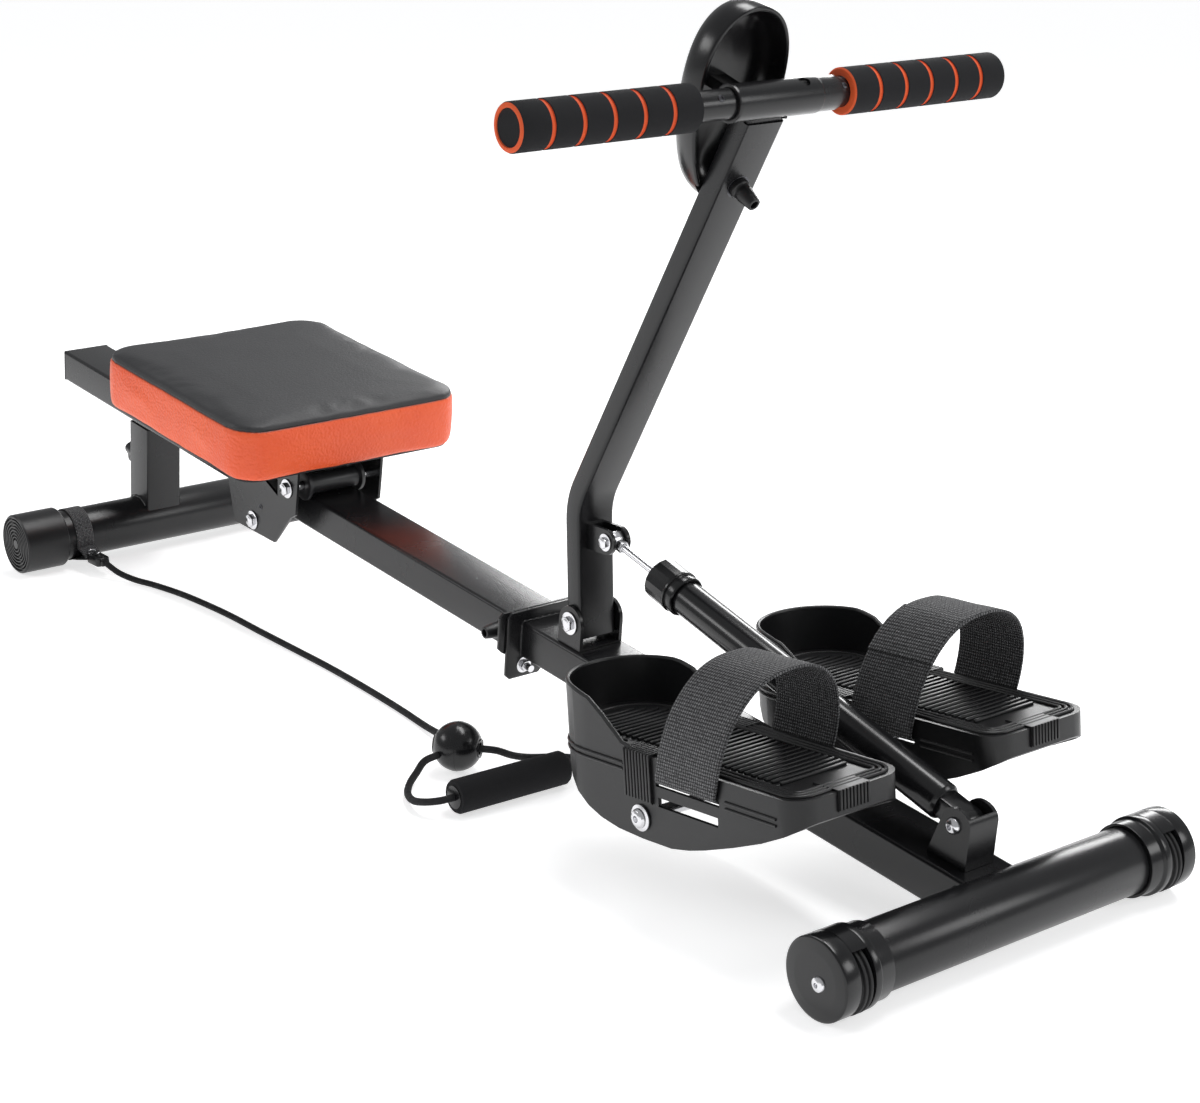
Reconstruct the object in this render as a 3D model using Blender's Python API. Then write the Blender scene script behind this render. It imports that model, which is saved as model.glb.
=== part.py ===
"""Folding rowing machine with a sliding seat, a pull arm on an oil damper, two foot pedals
and a pull rope.  Metres, +Z up.  +X points to the pedal end, the rider's right hand is -Y,
and the origin is on the floor under the middle of the machine.
"""
import math

import bmesh
import bpy
from mathutils import Matrix, Vector

# ---------------------------------------------------------------- driving dimensions
GAP = 0.0003                # between pieces that touch
RUNNING = 0.0003            # radial clearance of a piece that turns on another
SIDES = 24                  # sides of a large round piece
FEW_SIDES = 12              # sides of a small round piece
SHARP_ANGLE = math.radians(35)

OVERALL_LENGTH = 1.370

# stabilizers: two cross tubes that stand on the floor in plastic caps
FOOT_TUBE_RADIUS = 0.025
FOOT_TUBE_WALL = 0.0015
FOOT_CAP_RADIUS = FOOT_TUBE_RADIUS + 0.005
FRONT_FOOT_LENGTH = 0.3474
REAR_FOOT_LENGTH = 0.317
FOOT_CAP_LENGTH = 0.046
WHEEL_OFFSET = (0.004, -0.0015)  # forward of the front tube's axis and below it
WHEEL_RADIUS = FOOT_CAP_RADIUS - 0.002
FRONT_REACH = WHEEL_OFFSET[0] + WHEEL_RADIUS
FRONT_X = OVERALL_LENGTH / 2 - FRONT_REACH
# from here, (x, z) places are measured from the front tube's axis
REAR_FOOT_X = 0.139 - (OVERALL_LENGTH - FRONT_REACH)

# rail: two lengths of one box section, climbing to the rear
RAIL_WIDTH = 0.051
RAIL_HEIGHT = 0.032
RAIL_WALL = 0.002
RAIL_PITCH = math.atan(0.101)
RAIL_TOP = 0.0211           # the top face's height where it crosses above the front tube
PLUG_FLANGE = 0.003
RAIL_FRONT = -0.004         # stations along the rail, from the front tube's axis
RAIL_REAR = (GAP + PLUG_FLANGE - (OVERALL_LENGTH - FRONT_REACH - RAIL_HEIGHT * math.sin(RAIL_PITCH))
             / math.cos(RAIL_PITCH))

# folding joint: two plates face to face, hinged at their left edges
FOLD_STATION = -0.526
PLATE_THICKNESS = 0.003
PLATE_GAP = 0.0006
PLATE_TOP = 0.010           # above the rail's top face
PLATE_LEFT = RAIL_WIDTH / 2 + 0.002
FRONT_PLATE_RIGHT = -RAIL_WIDTH / 2 - 0.0145
REAR_PLATE_RIGHT = -RAIL_WIDTH / 2 - 0.0205
HINGE_Y = PLATE_LEFT + 0.007
HINGE_PIN_RADIUS = 0.003
KNUCKLE_RADIUS = 0.006
HINGE_Z = (0.028, 0.044, 0.065, 0.082)  # joints between the three knuckles

# pull arm
ARM_PIVOT = (-0.460, 0.0884)
ARM_BEND = (-0.4625, 0.189)
BAR_AXIS = (-0.2584, 0.530)
ARM_WIDTH = 0.036
ARM_DEPTH = 0.018
ARM_WALL = 0.0015
ARM_BELOW_PIVOT = 0.013
ARM_TOP_TO_BAR = 0.0145
ARM_BEND_RADIUS = 0.060
BOLT_RADIUS = 0.004
BOLT_HEAD_RADIUS = 0.0075
BOLT_HEAD = 0.004
EAR_THICKNESS = 0.003
EAR_RADIUS = 0.0145

# damper
DAMPER_TOP = (-0.430, 0.162)
DAMPER_FOOT = (-0.0338, 0.0544)
ROD_RADIUS = 0.003
ROD_END_RADIUS = 0.0075
ROD_END_WIDTH = 0.010
ROD_LENGTH = 0.190
CYLINDER_START = 0.060      # from the top pivot along the damper
CYLINDER_RADIUS = 0.014
CYLINDER_WALL = 0.0025
DIAL_RADIUS = CYLINDER_RADIUS + 0.0035
DIAL_LENGTH = 0.034
DAMPER_EYE_RADIUS = 0.008
DAMPER_EYE_WIDTH = 0.018
CLEVIS_INSIDE = 0.022
CLEVIS_EAR_RADIUS = 0.0135

# handlebar and monitor
BAR_RADIUS = 0.011
SLEEVE_RADIUS = BAR_RADIUS + 0.0025
SLEEVE_ENDS = (-0.036, 0.063)
GRIP_RADIUS = BAR_RADIUS + 0.0062
GRIP_ENDS = (0.071, 0.226)
GRIP_END_WALL = 0.003
STEM_LENGTH = 0.150
PIN_DOWN_ARM = 0.071        # lock pin, from the bar's axis down the arm
MONITOR_HALF_WIDTH = 0.040
MONITOR_LOW = -0.092        # from the bar's axis
MONITOR_HIGH = 0.060
MONITOR_RIM_X = -0.026
MONITOR_DEPTH = 0.030
MONITOR_WALL = 0.003
MONITOR_TILT = math.radians(18)

# pedals
PEDAL_AXLE = (-0.214, 0.0347)
PEDAL_Y = 0.0943
PEDAL_HALF_WIDTH = 0.0515
PEDAL_PITCH = math.radians(5.4)
PEDAL_DECK = 0.048
PEDAL_DECK_THICKNESS = 0.005
PEDAL_WALL = 0.003
PEDAL_TOE = 0.167
PEDAL_TOE_RADIUS = 0.020
PEDAL_RIM = 0.083
PEDAL_AXLE_RADIUS = 0.005
STRAP_WIDTH = 0.065
STRAP_THICKNESS = 0.002
STRAP_RISE = 0.0745         # of the arch above the deck

# seat and its carriage, placed along the rail
SEAT_STATION = REAR_FOOT_X + 0.2495
SEAT_LENGTH = 0.275
SEAT_WIDTH = 0.250
SEAT_THICKNESS = 0.050
SEAT_TOP = 0.0933
SEAT_CORNER = 0.030
BOARD_THICKNESS = 0.006
BOARD_INSET = 0.012
CARRIAGE_OUTSIDE = RAIL_WIDTH + 0.042
CARRIAGE_WALL = 0.0025
ROLLER_RADIUS = 0.0095
ROLLER_FLANGE = 0.0045
AXLE_RADIUS = 0.004
UPPER_AXLES = {"front": 0.0905, "rear": -0.0115}    # from the seat's middle
LOWER_AXLE = 0.0310

# rear post
POST_SIZE = 0.038
POST_WALL = 0.0018
POST_TOP_GAP = 0.006
INNER_WALL = 0.0015
KNOB_RADIUS = 0.014

# pull rope
ROPE_RADIUS = 0.003
BEAD_RADIUS = 0.0205
HANDLE_RADIUS = 0.014
ROPE_END_GAP = 0.001        # a slanting rope's end clears the face it meets


# ---------------------------------------------------------------- workshop
for thing in list(bpy.data.objects):
    bpy.data.objects.remove(thing, do_unlink=True)


def finish(name, colour, roughness, metallic=0.0):
    """A plain Principled material."""
    made = bpy.data.materials.new(name)
    made.use_nodes = True
    shader = made.node_tree.nodes["Principled BSDF"]
    shader.inputs["Base Color"].default_value = (*colour, 1.0)
    shader.inputs["Roughness"].default_value = roughness
    shader.inputs["Metallic"].default_value = metallic
    return made


def pivot(name, place, turn=(0.0, 0.0, 0.0), parent=None):
    """An empty that pieces are placed from."""
    empty = bpy.data.objects.new(name, None)
    empty.location = place
    empty.rotation_euler = turn
    empty.parent = parent
    bpy.context.collection.objects.link(empty)
    return empty


def piece(name, shape, material, parent=None, place=(0.0, 0.0, 0.0), turn=(0.0, 0.0, 0.0)):
    """Turn a bmesh into a named object and free the bmesh."""
    bmesh.ops.recalc_face_normals(shape, faces=shape.faces)
    mesh = bpy.data.meshes.new(name)
    shape.to_mesh(mesh)
    shape.free()
    mesh.materials.append(material)
    mesh.shade_smooth()
    mesh.set_sharp_from_angle(angle=SHARP_ANGLE)
    made = bpy.data.objects.new(name, mesh)
    made.parent = parent
    made.location = place
    made.rotation_euler = turn
    bpy.context.collection.objects.link(made)
    return made


def combine(target, shape, operation):
    """Cut, join or trim a piece with a shape given in the piece's own coordinates."""
    tool = piece(target.name + "_" + operation.lower(), shape, target.data.materials[0],
                 target.parent, target.location, target.rotation_euler)
    tool.hide_render = True
    tool.display_type = "WIRE"
    step = target.modifiers.new(operation.title(), "BOOLEAN")
    step.operation = operation
    step.solver = "EXACT"
    step.object = tool


def cut(target, shape):
    combine(target, shape, "DIFFERENCE")


def join(target, shape):
    combine(target, shape, "UNION")


def trim(target, shape):
    combine(target, shape, "INTERSECT")


def box(low, high):
    """A block between two corners."""
    low, high = Vector(low), Vector(high)
    shape = bmesh.new()
    bmesh.ops.create_cube(shape, size=1.0)
    bmesh.ops.scale(shape, vec=high - low, verts=shape.verts)
    bmesh.ops.translate(shape, vec=(low + high) / 2, verts=shape.verts)
    return shape


def drum(start, end, radius, end_radius=None, sides=SIDES):
    """A closed cylinder or cone between two points."""
    start, end = Vector(start), Vector(end)
    along = end - start
    shape = bmesh.new()
    bmesh.ops.create_cone(shape, cap_ends=True, segments=sides, radius1=radius,
                          radius2=radius if end_radius is None else end_radius, depth=along.length)
    bmesh.ops.rotate(shape, verts=shape.verts,
                     matrix=Vector((0, 0, 1)).rotation_difference(along).to_matrix())
    bmesh.ops.translate(shape, vec=(start + end) / 2, verts=shape.verts)
    return shape


def prism(outline, low, high, across="Y"):
    """An outline pushed along an axis: (x, z) points along Y, (x, y) along Z, (y, z) along X."""
    placed = {"X": lambda a, b, d: (d, a, b),
              "Y": lambda a, b, d: (a, d, b),
              "Z": lambda a, b, d: (a, b, d)}
    shape = bmesh.new()
    ring = [shape.verts.new(placed[across](a, b, low)) for a, b in outline]
    face = shape.faces.new(ring)
    pushed = bmesh.ops.extrude_face_region(shape, geom=[face])["geom"]
    moved = [item for item in pushed if isinstance(item, bmesh.types.BMVert)]
    shift = Vector(placed[across](0.0, 0.0, high - low))
    bmesh.ops.translate(shape, vec=shift, verts=moved)
    return shape


def turned(profile, centre=(0.0, 0.0, 0.0), direction=(0.0, 0.0, 1.0), sides=SIDES):
    """A closed profile of (radius, height) points turned about an axis."""
    shape = bmesh.new()
    ring = [shape.verts.new((radius, 0.0, height)) for radius, height in profile]
    edges = [shape.edges.new((ring[i - 1], ring[i])) for i in range(len(ring))]
    bmesh.ops.spin(shape, geom=ring + edges, axis=(0, 0, 1), cent=(0, 0, 0),
                   angle=math.tau, steps=sides, use_merge=True)
    bmesh.ops.remove_doubles(shape, verts=shape.verts, dist=1e-6)
    loose = [edge for edge in shape.edges if not edge.link_faces]
    bmesh.ops.delete(shape, geom=loose, context="EDGES")
    bmesh.ops.rotate(shape, verts=shape.verts,
                     matrix=Vector((0, 0, 1)).rotation_difference(Vector(direction)).to_matrix())
    bmesh.ops.translate(shape, vec=centre, verts=shape.verts)
    return shape


def rounded(length, width, radius, centre=(0.0, 0.0), steps=6):
    """A rectangle's outline with round corners."""
    points = []
    for corner, (sx, sy) in enumerate(((1, 1), (-1, 1), (-1, -1), (1, -1))):
        for step in range(steps + 1):
            angle = (corner + step / steps) * math.pi / 2
            points.append((centre[0] + sx * (length / 2 - radius) + radius * math.cos(angle),
                           centre[1] + sy * (width / 2 - radius) + radius * math.sin(angle)))
    return points


def hex_bolt(start, end, radius, head_radius, head):
    """A bolt with a hexagon head outside each end of its shank."""
    start, end = Vector(start), Vector(end)
    along = (end - start).normalized()
    profile = [(0.0, -head), (head_radius * 0.8, -head), (head_radius, -head * 0.7), (head_radius, 0.0),
               (radius, 0.0), (radius, (end - start).length), (head_radius, (end - start).length),
               (head_radius, (end - start).length + head * 0.7),
               (head_radius * 0.8, (end - start).length + head), (0.0, (end - start).length + head)]
    return turned(profile, start, along, FEW_SIDES)


# ---------------------------------------------------------------- finishes
BLACK_PAINT = finish("black_paint", (0.018, 0.018, 0.020), 0.34, 0.3)
BLACK_PLASTIC = finish("black_plastic", (0.022, 0.022, 0.024), 0.42)
SOFT_BLACK = finish("soft_black", (0.028, 0.028, 0.030), 0.75)
FOAM = finish("black_foam", (0.030, 0.030, 0.032), 0.9)
ORANGE_VINYL = finish("orange_vinyl", (0.85, 0.13, 0.035), 0.5)
CHROME = finish("bright_steel", (0.72, 0.72, 0.74), 0.18, 1.0)
WEBBING = finish("black_webbing", (0.025, 0.025, 0.027), 0.95)
SCREEN = finish("screen_glass", (0.05, 0.06, 0.06), 0.15)
NYLON = finish("white_nylon", (0.75, 0.75, 0.72), 0.5)

rail = pivot("rail_line", (FRONT_X, 0.0, FOOT_CAP_RADIUS + RAIL_TOP), (0.0, RAIL_PITCH, 0.0))


def at(x, z, y=0.0):
    """World place of a point given from the front tube's axis."""
    return (FRONT_X + x, y, FOOT_CAP_RADIUS + z)


def on_rail(x, z):
    """Rail station and height above the rail's top of a point given from the front tube's axis."""
    rise = z - RAIL_TOP
    return (x * math.cos(RAIL_PITCH) - rise * math.sin(RAIL_PITCH),
            x * math.sin(RAIL_PITCH) + rise * math.cos(RAIL_PITCH))


# ---------------------------------------------------------------- front foot
def foot_tube(name, centre, length):
    """A steel cross tube with open ends."""
    inside = FOOT_TUBE_RADIUS - FOOT_TUBE_WALL
    half = length / 2
    profile = [(inside, -half), (FOOT_TUBE_RADIUS, -half), (FOOT_TUBE_RADIUS, half), (inside, half)]
    return piece(name, turned(profile, direction=(0, 1, 0)), BLACK_PAINT, place=centre)


FRONT_TUBE_END = FRONT_FOOT_LENGTH / 2 - 0.032
FRONT_FOOT_CENTRE = (FRONT_X, 0.0, FOOT_CAP_RADIUS)
foot_tube("front_stabilizer", FRONT_FOOT_CENTRE, 2 * FRONT_TUBE_END)

WHEEL_WIDTH = 0.0115
WHEEL_POCKET = 0.013
WHEEL_SCREW_RADIUS = 0.003


def front_cap(name, side):
    """A cap with a pocket for its transport wheel; side is -1 on the rider's right."""
    end = FRONT_FOOT_LENGTH / 2
    mouth = end - FOOT_CAP_LENGTH
    bore = FOOT_TUBE_RADIUS + GAP
    seat = FRONT_TUBE_END + GAP
    pocket = seat + 0.005
    rim = FOOT_CAP_RADIUS - 0.0022
    profile = [(0.0, seat), (bore, seat), (bore, mouth), (rim, mouth), (rim, mouth + 0.014),
               (FOOT_CAP_RADIUS, mouth + 0.0155), (FOOT_CAP_RADIUS, end - 0.002),
               (FOOT_CAP_RADIUS - 0.002, end), (0.0, end)]
    made = piece(name, turned(profile, direction=(0, side, 0)), BLACK_PLASTIC,
                 place=FRONT_FOOT_CENTRE)
    wx, wz = WHEEL_OFFSET
    cut(made, drum((wx, side * pocket, wz), (wx, side * (pocket + WHEEL_POCKET), wz),
                   WHEEL_RADIUS + 0.0008))
    cut(made, drum((wx, side * (seat + 0.002), wz), (wx, side * (end + 0.01), wz),
                   WHEEL_SCREW_RADIUS + GAP, sides=FEW_SIDES))


def transport_wheel(name, side):
    """A wheel that the machine rolls on when its rear is lifted."""
    middle = FRONT_TUBE_END + GAP + 0.005 + WHEEL_POCKET / 2
    bore = WHEEL_SCREW_RADIUS + RUNNING
    half = WHEEL_WIDTH / 2
    profile = [(bore, -half), (WHEEL_RADIUS - 0.002, -half), (WHEEL_RADIUS, -half + 0.002),
               (WHEEL_RADIUS, half - 0.002), (WHEEL_RADIUS - 0.002, half), (bore, half)]
    place = Vector(FRONT_FOOT_CENTRE) + Vector((WHEEL_OFFSET[0], side * middle, WHEEL_OFFSET[1]))
    piece(name, turned(profile, direction=(0, 1, 0)), SOFT_BLACK, place=place)


def wheel_screw(name, side):
    """The screw through the cap that the wheel turns on."""
    end = FRONT_FOOT_LENGTH / 2 + GAP
    tip = FRONT_TUBE_END + GAP + 0.003
    profile = [(0.0, tip), (WHEEL_SCREW_RADIUS, tip), (WHEEL_SCREW_RADIUS, end), (0.0055, end),
               (0.005, end + 0.002), (0.003, end + 0.003), (0.0, end + 0.0033)]
    place = Vector(FRONT_FOOT_CENTRE) + Vector((WHEEL_OFFSET[0], 0.0, WHEEL_OFFSET[1]))
    piece(name, turned(profile, direction=(0, side, 0), sides=FEW_SIDES), CHROME, place=place)


for word, side in (("right", -1), ("left", 1)):
    front_cap("front_cap_" + word, side)
    transport_wheel("transport_wheel_" + word, side)
    wheel_screw("wheel_screw_" + word, side)


# ---------------------------------------------------------------- rails and folding joint
def rail_tube(name, rear, front):
    """A length of the rail's box section, open at both ends."""
    half = RAIL_WIDTH / 2
    made = piece(name, box((rear, -half, -RAIL_HEIGHT), (front, half, 0.0)), BLACK_PAINT, rail)
    cut(made, box((rear - 0.01, -half + RAIL_WALL, -RAIL_HEIGHT + RAIL_WALL),
                  (front + 0.01, half - RAIL_WALL, -RAIL_WALL)))
    return made


def knuckle(made, low, high):
    """A hinge knuckle about the upright pin, with the tab that holds it to a plate."""
    to_local = rail.matrix_basis.inverted()
    foot = to_local @ Vector(at(HINGE_X, low, HINGE_Y))
    top = to_local @ Vector(at(HINGE_X, high, HINGE_Y))
    join(made, drum(foot, top, KNUCKLE_RADIUS, sides=FEW_SIDES))


PLATE_MIDDLE_Z = RAIL_TOP - FOLD_STATION * math.sin(RAIL_PITCH) - RAIL_HEIGHT / 2
HINGE_X = FOLD_STATION * math.cos(RAIL_PITCH) - RAIL_HEIGHT / 2 * math.sin(RAIL_PITCH)


def fold_plate(made, near, far, right, lug_right, lug_left, lug_low):
    """The plate welded round the end of a rail, with its locking lug under the rail."""
    low, high = min(near, far), max(near, far)
    outline = [(PLATE_LEFT, PLATE_TOP), (right + 0.003, PLATE_TOP), (right, PLATE_TOP - 0.003),
               (lug_right, lug_low + 0.003), (lug_right + 0.003, lug_low), (lug_left, lug_low),
               (lug_left + 0.006, -RAIL_HEIGHT - 0.003), (PLATE_LEFT, -RAIL_HEIGHT - 0.003)]
    join(made, prism(outline, low, high, "X"))


def hinge_bore(made):
    """The pin's hole through a rail's knuckles."""
    to_local = rail.matrix_basis.inverted()
    foot = to_local @ Vector(at(HINGE_X, HINGE_Z[0] - 0.01, HINGE_Y))
    top = to_local @ Vector(at(HINGE_X, HINGE_Z[3] + 0.01, HINGE_Y))
    cut(made, drum(foot, top, HINGE_PIN_RADIUS + RUNNING, sides=FEW_SIDES))


def knuckle_tab(made, low, high, near, far):
    """A short web from a plate's edge to its knuckle, at one height of the hinge."""
    h_low = low - PLATE_MIDDLE_Z - RAIL_HEIGHT / 2
    h_high = high - PLATE_MIDDLE_Z - RAIL_HEIGHT / 2
    join(made, box((min(near, far), PLATE_LEFT - 0.004, h_low),
                   (max(near, far), HINGE_Y - 0.001, h_high)))


FRONT_PLATE = (FOLD_STATION + PLATE_GAP / 2, FOLD_STATION + PLATE_GAP / 2 + PLATE_THICKNESS)
REAR_PLATE = (FOLD_STATION - PLATE_GAP / 2, FOLD_STATION - PLATE_GAP / 2 - PLATE_THICKNESS)
STOP_BOLT = (-0.022, -RAIL_HEIGHT - 0.007)  # across and above the rail's top, in the front plate

front_rail = rail_tube("front_rail", FRONT_PLATE[0] + 0.0005, RAIL_FRONT)
fold_plate(front_rail, *FRONT_PLATE, FRONT_PLATE_RIGHT, FRONT_PLATE_RIGHT, -0.002, -0.050)
knuckle(front_rail, HINGE_Z[1] + GAP, HINGE_Z[2] - GAP)
knuckle_tab(front_rail, HINGE_Z[1] + 0.004, HINGE_Z[2] - 0.004, FRONT_PLATE[0] + 0.0006, FRONT_PLATE[1])
hinge_bore(front_rail)
foot_station, foot_height = on_rail(0.0, 0.0)
cut(front_rail, drum((foot_station, -0.06, foot_height), (foot_station, 0.06, foot_height),
                     FOOT_TUBE_RADIUS + GAP))
axle_station, axle_height = on_rail(*PEDAL_AXLE)
cut(front_rail, drum((axle_station, -0.06, axle_height), (axle_station, 0.06, axle_height),
                     PEDAL_AXLE_RADIUS + GAP, sides=FEW_SIDES))
cut(front_rail, drum((FRONT_PLATE[0] - 0.01, *STOP_BOLT), (FRONT_PLATE[1] + 0.01, *STOP_BOLT),
                     0.003 + GAP, sides=FEW_SIDES))

rear_rail = rail_tube("rear_rail", RAIL_REAR, REAR_PLATE[0] - 0.0005)
fold_plate(rear_rail, *REAR_PLATE, REAR_PLATE_RIGHT, REAR_PLATE_RIGHT, -0.006, -RAIL_HEIGHT + 0.006)
for low, high in ((HINGE_Z[0], HINGE_Z[1] - GAP), (HINGE_Z[2] + GAP, HINGE_Z[3])):
    knuckle(rear_rail, low, high)
    knuckle_tab(rear_rail, low + 0.002, high - 0.002, REAR_PLATE[0], REAR_PLATE[1])
hinge_bore(rear_rail)
piece("fold_hinge_pin", drum(at(HINGE_X, HINGE_Z[0] - 0.002, HINGE_Y),
                             at(HINGE_X, HINGE_Z[3] + 0.002, HINGE_Y),
                             HINGE_PIN_RADIUS, sides=FEW_SIDES), CHROME)
piece("fold_stop_bolt", hex_bolt((FRONT_PLATE[0] + GAP, *STOP_BOLT), (FRONT_PLATE[1] + 0.012, *STOP_BOLT),
                                 0.003, 0.003, 0.0001), CHROME, rail)

PULL_PIN_STATION = FOLD_STATION - 0.020
PULL_PIN_HEIGHT = -0.014
PULL_PIN_RADIUS = 0.004
RAIL_SIDE = RAIL_WIDTH / 2
cut(rear_rail, drum((PULL_PIN_STATION, -RAIL_SIDE - 0.01, PULL_PIN_HEIGHT),
                    (PULL_PIN_STATION, -RAIL_SIDE + 0.01, PULL_PIN_HEIGHT),
                    PULL_PIN_RADIUS + RUNNING, sides=FEW_SIDES))


def pull_knob(name, reach, parent, place, turn):
    """A sprung lock pin with a tapered knob; it points along its own +Z."""
    profile = [(0.0, -reach), (PULL_PIN_RADIUS, -reach), (PULL_PIN_RADIUS, GAP), (0.0080, GAP),
               (0.0080, 0.004), (0.0065, 0.006), (0.0048, 0.021), (0.0030, 0.021), (0.0028, 0.018),
               (0.0, 0.018)]
    return piece(name, turned(profile, sides=FEW_SIDES), BLACK_PLASTIC, parent, place, turn)


pull_knob("fold_pull_pin", 0.014, rail, (PULL_PIN_STATION, -RAIL_SIDE, PULL_PIN_HEIGHT),
          (math.pi / 2, 0, 0))

PLUG_DEPTH = 0.018
inner_half = RAIL_SIDE - RAIL_WALL - GAP
plug = piece("rail_end_cap", box((RAIL_REAR - GAP - PLUG_FLANGE, -RAIL_SIDE, -RAIL_HEIGHT),
                                 (RAIL_REAR - GAP, RAIL_SIDE, 0.0)), BLACK_PLASTIC, rail)
join(plug, box((RAIL_REAR - 0.001, -inner_half, -RAIL_HEIGHT + RAIL_WALL + GAP),
               (RAIL_REAR + PLUG_DEPTH, inner_half, -RAIL_WALL - GAP)))

# ---------------------------------------------------------------- rear post and foot
REAR_FOOT_CENTRE = (FRONT_X + REAR_FOOT_X, 0.0, FOOT_CAP_RADIUS)
POST_STATION, foot_depth = on_rail(REAR_FOOT_X, 0.0)
POST_INSIDE = POST_SIZE / 2 - POST_WALL
INNER_HALF = POST_INSIDE - GAP
POST_HIGH = -RAIL_HEIGHT - POST_TOP_GAP
POST_LOW = foot_depth
INNER_LOW = foot_depth + FOOT_TUBE_RADIUS + 0.004


rear_post = piece("rear_post", prism(rounded(POST_SIZE, POST_SIZE, 0.0015, (POST_STATION, 0.0), 1),
                                     POST_LOW, POST_HIGH, "Z"), BLACK_PAINT, rail)
cut(rear_post, box((POST_STATION - POST_INSIDE, -POST_INSIDE, POST_LOW - 0.01),
                   (POST_STATION + POST_INSIDE, POST_INSIDE, POST_HIGH + 0.01)))
cut(rear_post, drum((POST_STATION, -0.06, foot_depth), (POST_STATION, 0.06, foot_depth),
                    FOOT_TUBE_RADIUS + GAP))
KNOB_HEIGHT = foot_depth + 0.0636
KNOB_FACE = POST_STATION - POST_SIZE / 2
cut(rear_post, drum((KNOB_FACE - 0.01, 0, KNOB_HEIGHT), (POST_STATION, 0, KNOB_HEIGHT),
                    0.004 + RUNNING, sides=FEW_SIDES))
INNER_BORE = INNER_HALF - INNER_WALL
join(rear_rail, box((POST_STATION - INNER_HALF, -INNER_HALF, INNER_LOW),
                    (POST_STATION + INNER_HALF, INNER_HALF, -RAIL_HEIGHT + 0.0008)))
cut(rear_rail, box((POST_STATION - INNER_BORE, -INNER_BORE, INNER_LOW - 0.01),
                   (POST_STATION + INNER_BORE, INNER_BORE, -RAIL_HEIGHT - 0.003)))

foot_tube("rear_stabilizer", REAR_FOOT_CENTRE, REAR_FOOT_LENGTH - 0.007)
for word, side in (("right", -1), ("left", 1)):
    end = REAR_FOOT_LENGTH / 2
    bore = FOOT_TUBE_RADIUS + GAP
    mouth = end - FOOT_CAP_LENGTH
    profile = [(0.0, end - 0.0032), (bore, end - 0.0032), (bore, mouth), (FOOT_CAP_RADIUS - 0.001, mouth),
               (FOOT_CAP_RADIUS, mouth + 0.001), (FOOT_CAP_RADIUS, end - 0.0015),
               (FOOT_CAP_RADIUS - 0.0015, end), (0.0, end)]
    piece("rear_cap_" + word, turned(profile, direction=(0, side, 0)), BLACK_PLASTIC,
          place=REAR_FOOT_CENTRE)

lobes = [(KNOB_RADIUS * (1 + 0.10 * math.cos(5 * angle)) * math.cos(angle),
          KNOB_RADIUS * (1 + 0.10 * math.cos(5 * angle)) * math.sin(angle))
         for angle in (math.tau * step / 40 for step in range(40))]
knob = piece("height_knob", prism(lobes, 0.004, 0.020, "Z"), BLACK_PLASTIC, rail,
             (KNOB_FACE, 0.0, KNOB_HEIGHT), (0.0, -math.pi / 2, 0.0))
join(knob, drum((0, 0, GAP), (0, 0, 0.008), 0.008, sides=FEW_SIDES))
join(knob, drum((0, 0, -POST_WALL), (0, 0, 0.006), 0.004, sides=FEW_SIDES))

# ---------------------------------------------------------------- pull arm
arm_pivot = pivot("arm_pivot", at(*ARM_PIVOT))


def from_pivot(x, z, y=0.0):
    return Vector((x - ARM_PIVOT[0], y, z - ARM_PIVOT[1]))


arm_line = (Vector((BAR_AXIS[0], 0, BAR_AXIS[1])) - Vector((ARM_BEND[0], 0, ARM_BEND[1]))).normalized()
stem_line = (Vector((ARM_BEND[0], 0, ARM_BEND[1])) - Vector((ARM_PIVOT[0], 0, ARM_PIVOT[1]))).normalized()


def arm_path():
    """Centre points of the bent arm tube, from its foot to its mouth."""
    bend = from_pivot(*ARM_BEND)
    half_turn = stem_line.angle(arm_line) / 2
    reach = ARM_BEND_RADIUS * math.tan(half_turn)
    points = [-stem_line * ARM_BELOW_PIVOT]
    for step in range(6):
        t = step / 5
        points.append((bend - stem_line * reach) * (1 - t) ** 2 + bend * 2 * t * (1 - t)
                      + (bend + arm_line * reach) * t ** 2)
    points.append(from_pivot(*BAR_AXIS) - arm_line * ARM_TOP_TO_BAR)
    return points


def box_tube(points, width, depth, wall):
    """A rectangular tube along points in the XZ plane: two nested skins joined at the ends."""
    shape = bmesh.new()
    rings = []
    for index, point in enumerate(points):
        before = points[max(index - 1, 0)]
        after = points[min(index + 1, len(points) - 1)]
        along = (after - before).normalized()
        front = Vector((along.z, 0, -along.x))
        pair = []
        for w, d in ((width / 2, depth / 2), (width / 2 - wall, depth / 2 - wall)):
            pair.append([shape.verts.new(point + front * d * a + Vector((0, w * b, 0)))
                         for a, b in ((1, 1), (-1, 1), (-1, -1), (1, -1))])
        rings.append(pair)
    for first, second in zip(rings, rings[1:]):
        for skin in (0, 1):
            for side in range(4):
                shape.faces.new((first[skin][side - 1], first[skin][side], second[skin][side],
                                 second[skin][side - 1]))
    for pair in (rings[0], rings[-1]):
        for side in range(4):
            shape.faces.new((pair[0][side - 1], pair[0][side], pair[1][side], pair[1][side - 1]))
    return shape


arm_tube = piece("arm_tube", box_tube(arm_path(), ARM_WIDTH, ARM_DEPTH, ARM_WALL), BLACK_PAINT, arm_pivot)
cut(arm_tube, drum((0, -0.04, 0), (0, 0.04, 0), BOLT_RADIUS + RUNNING, sides=FEW_SIDES))

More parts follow.
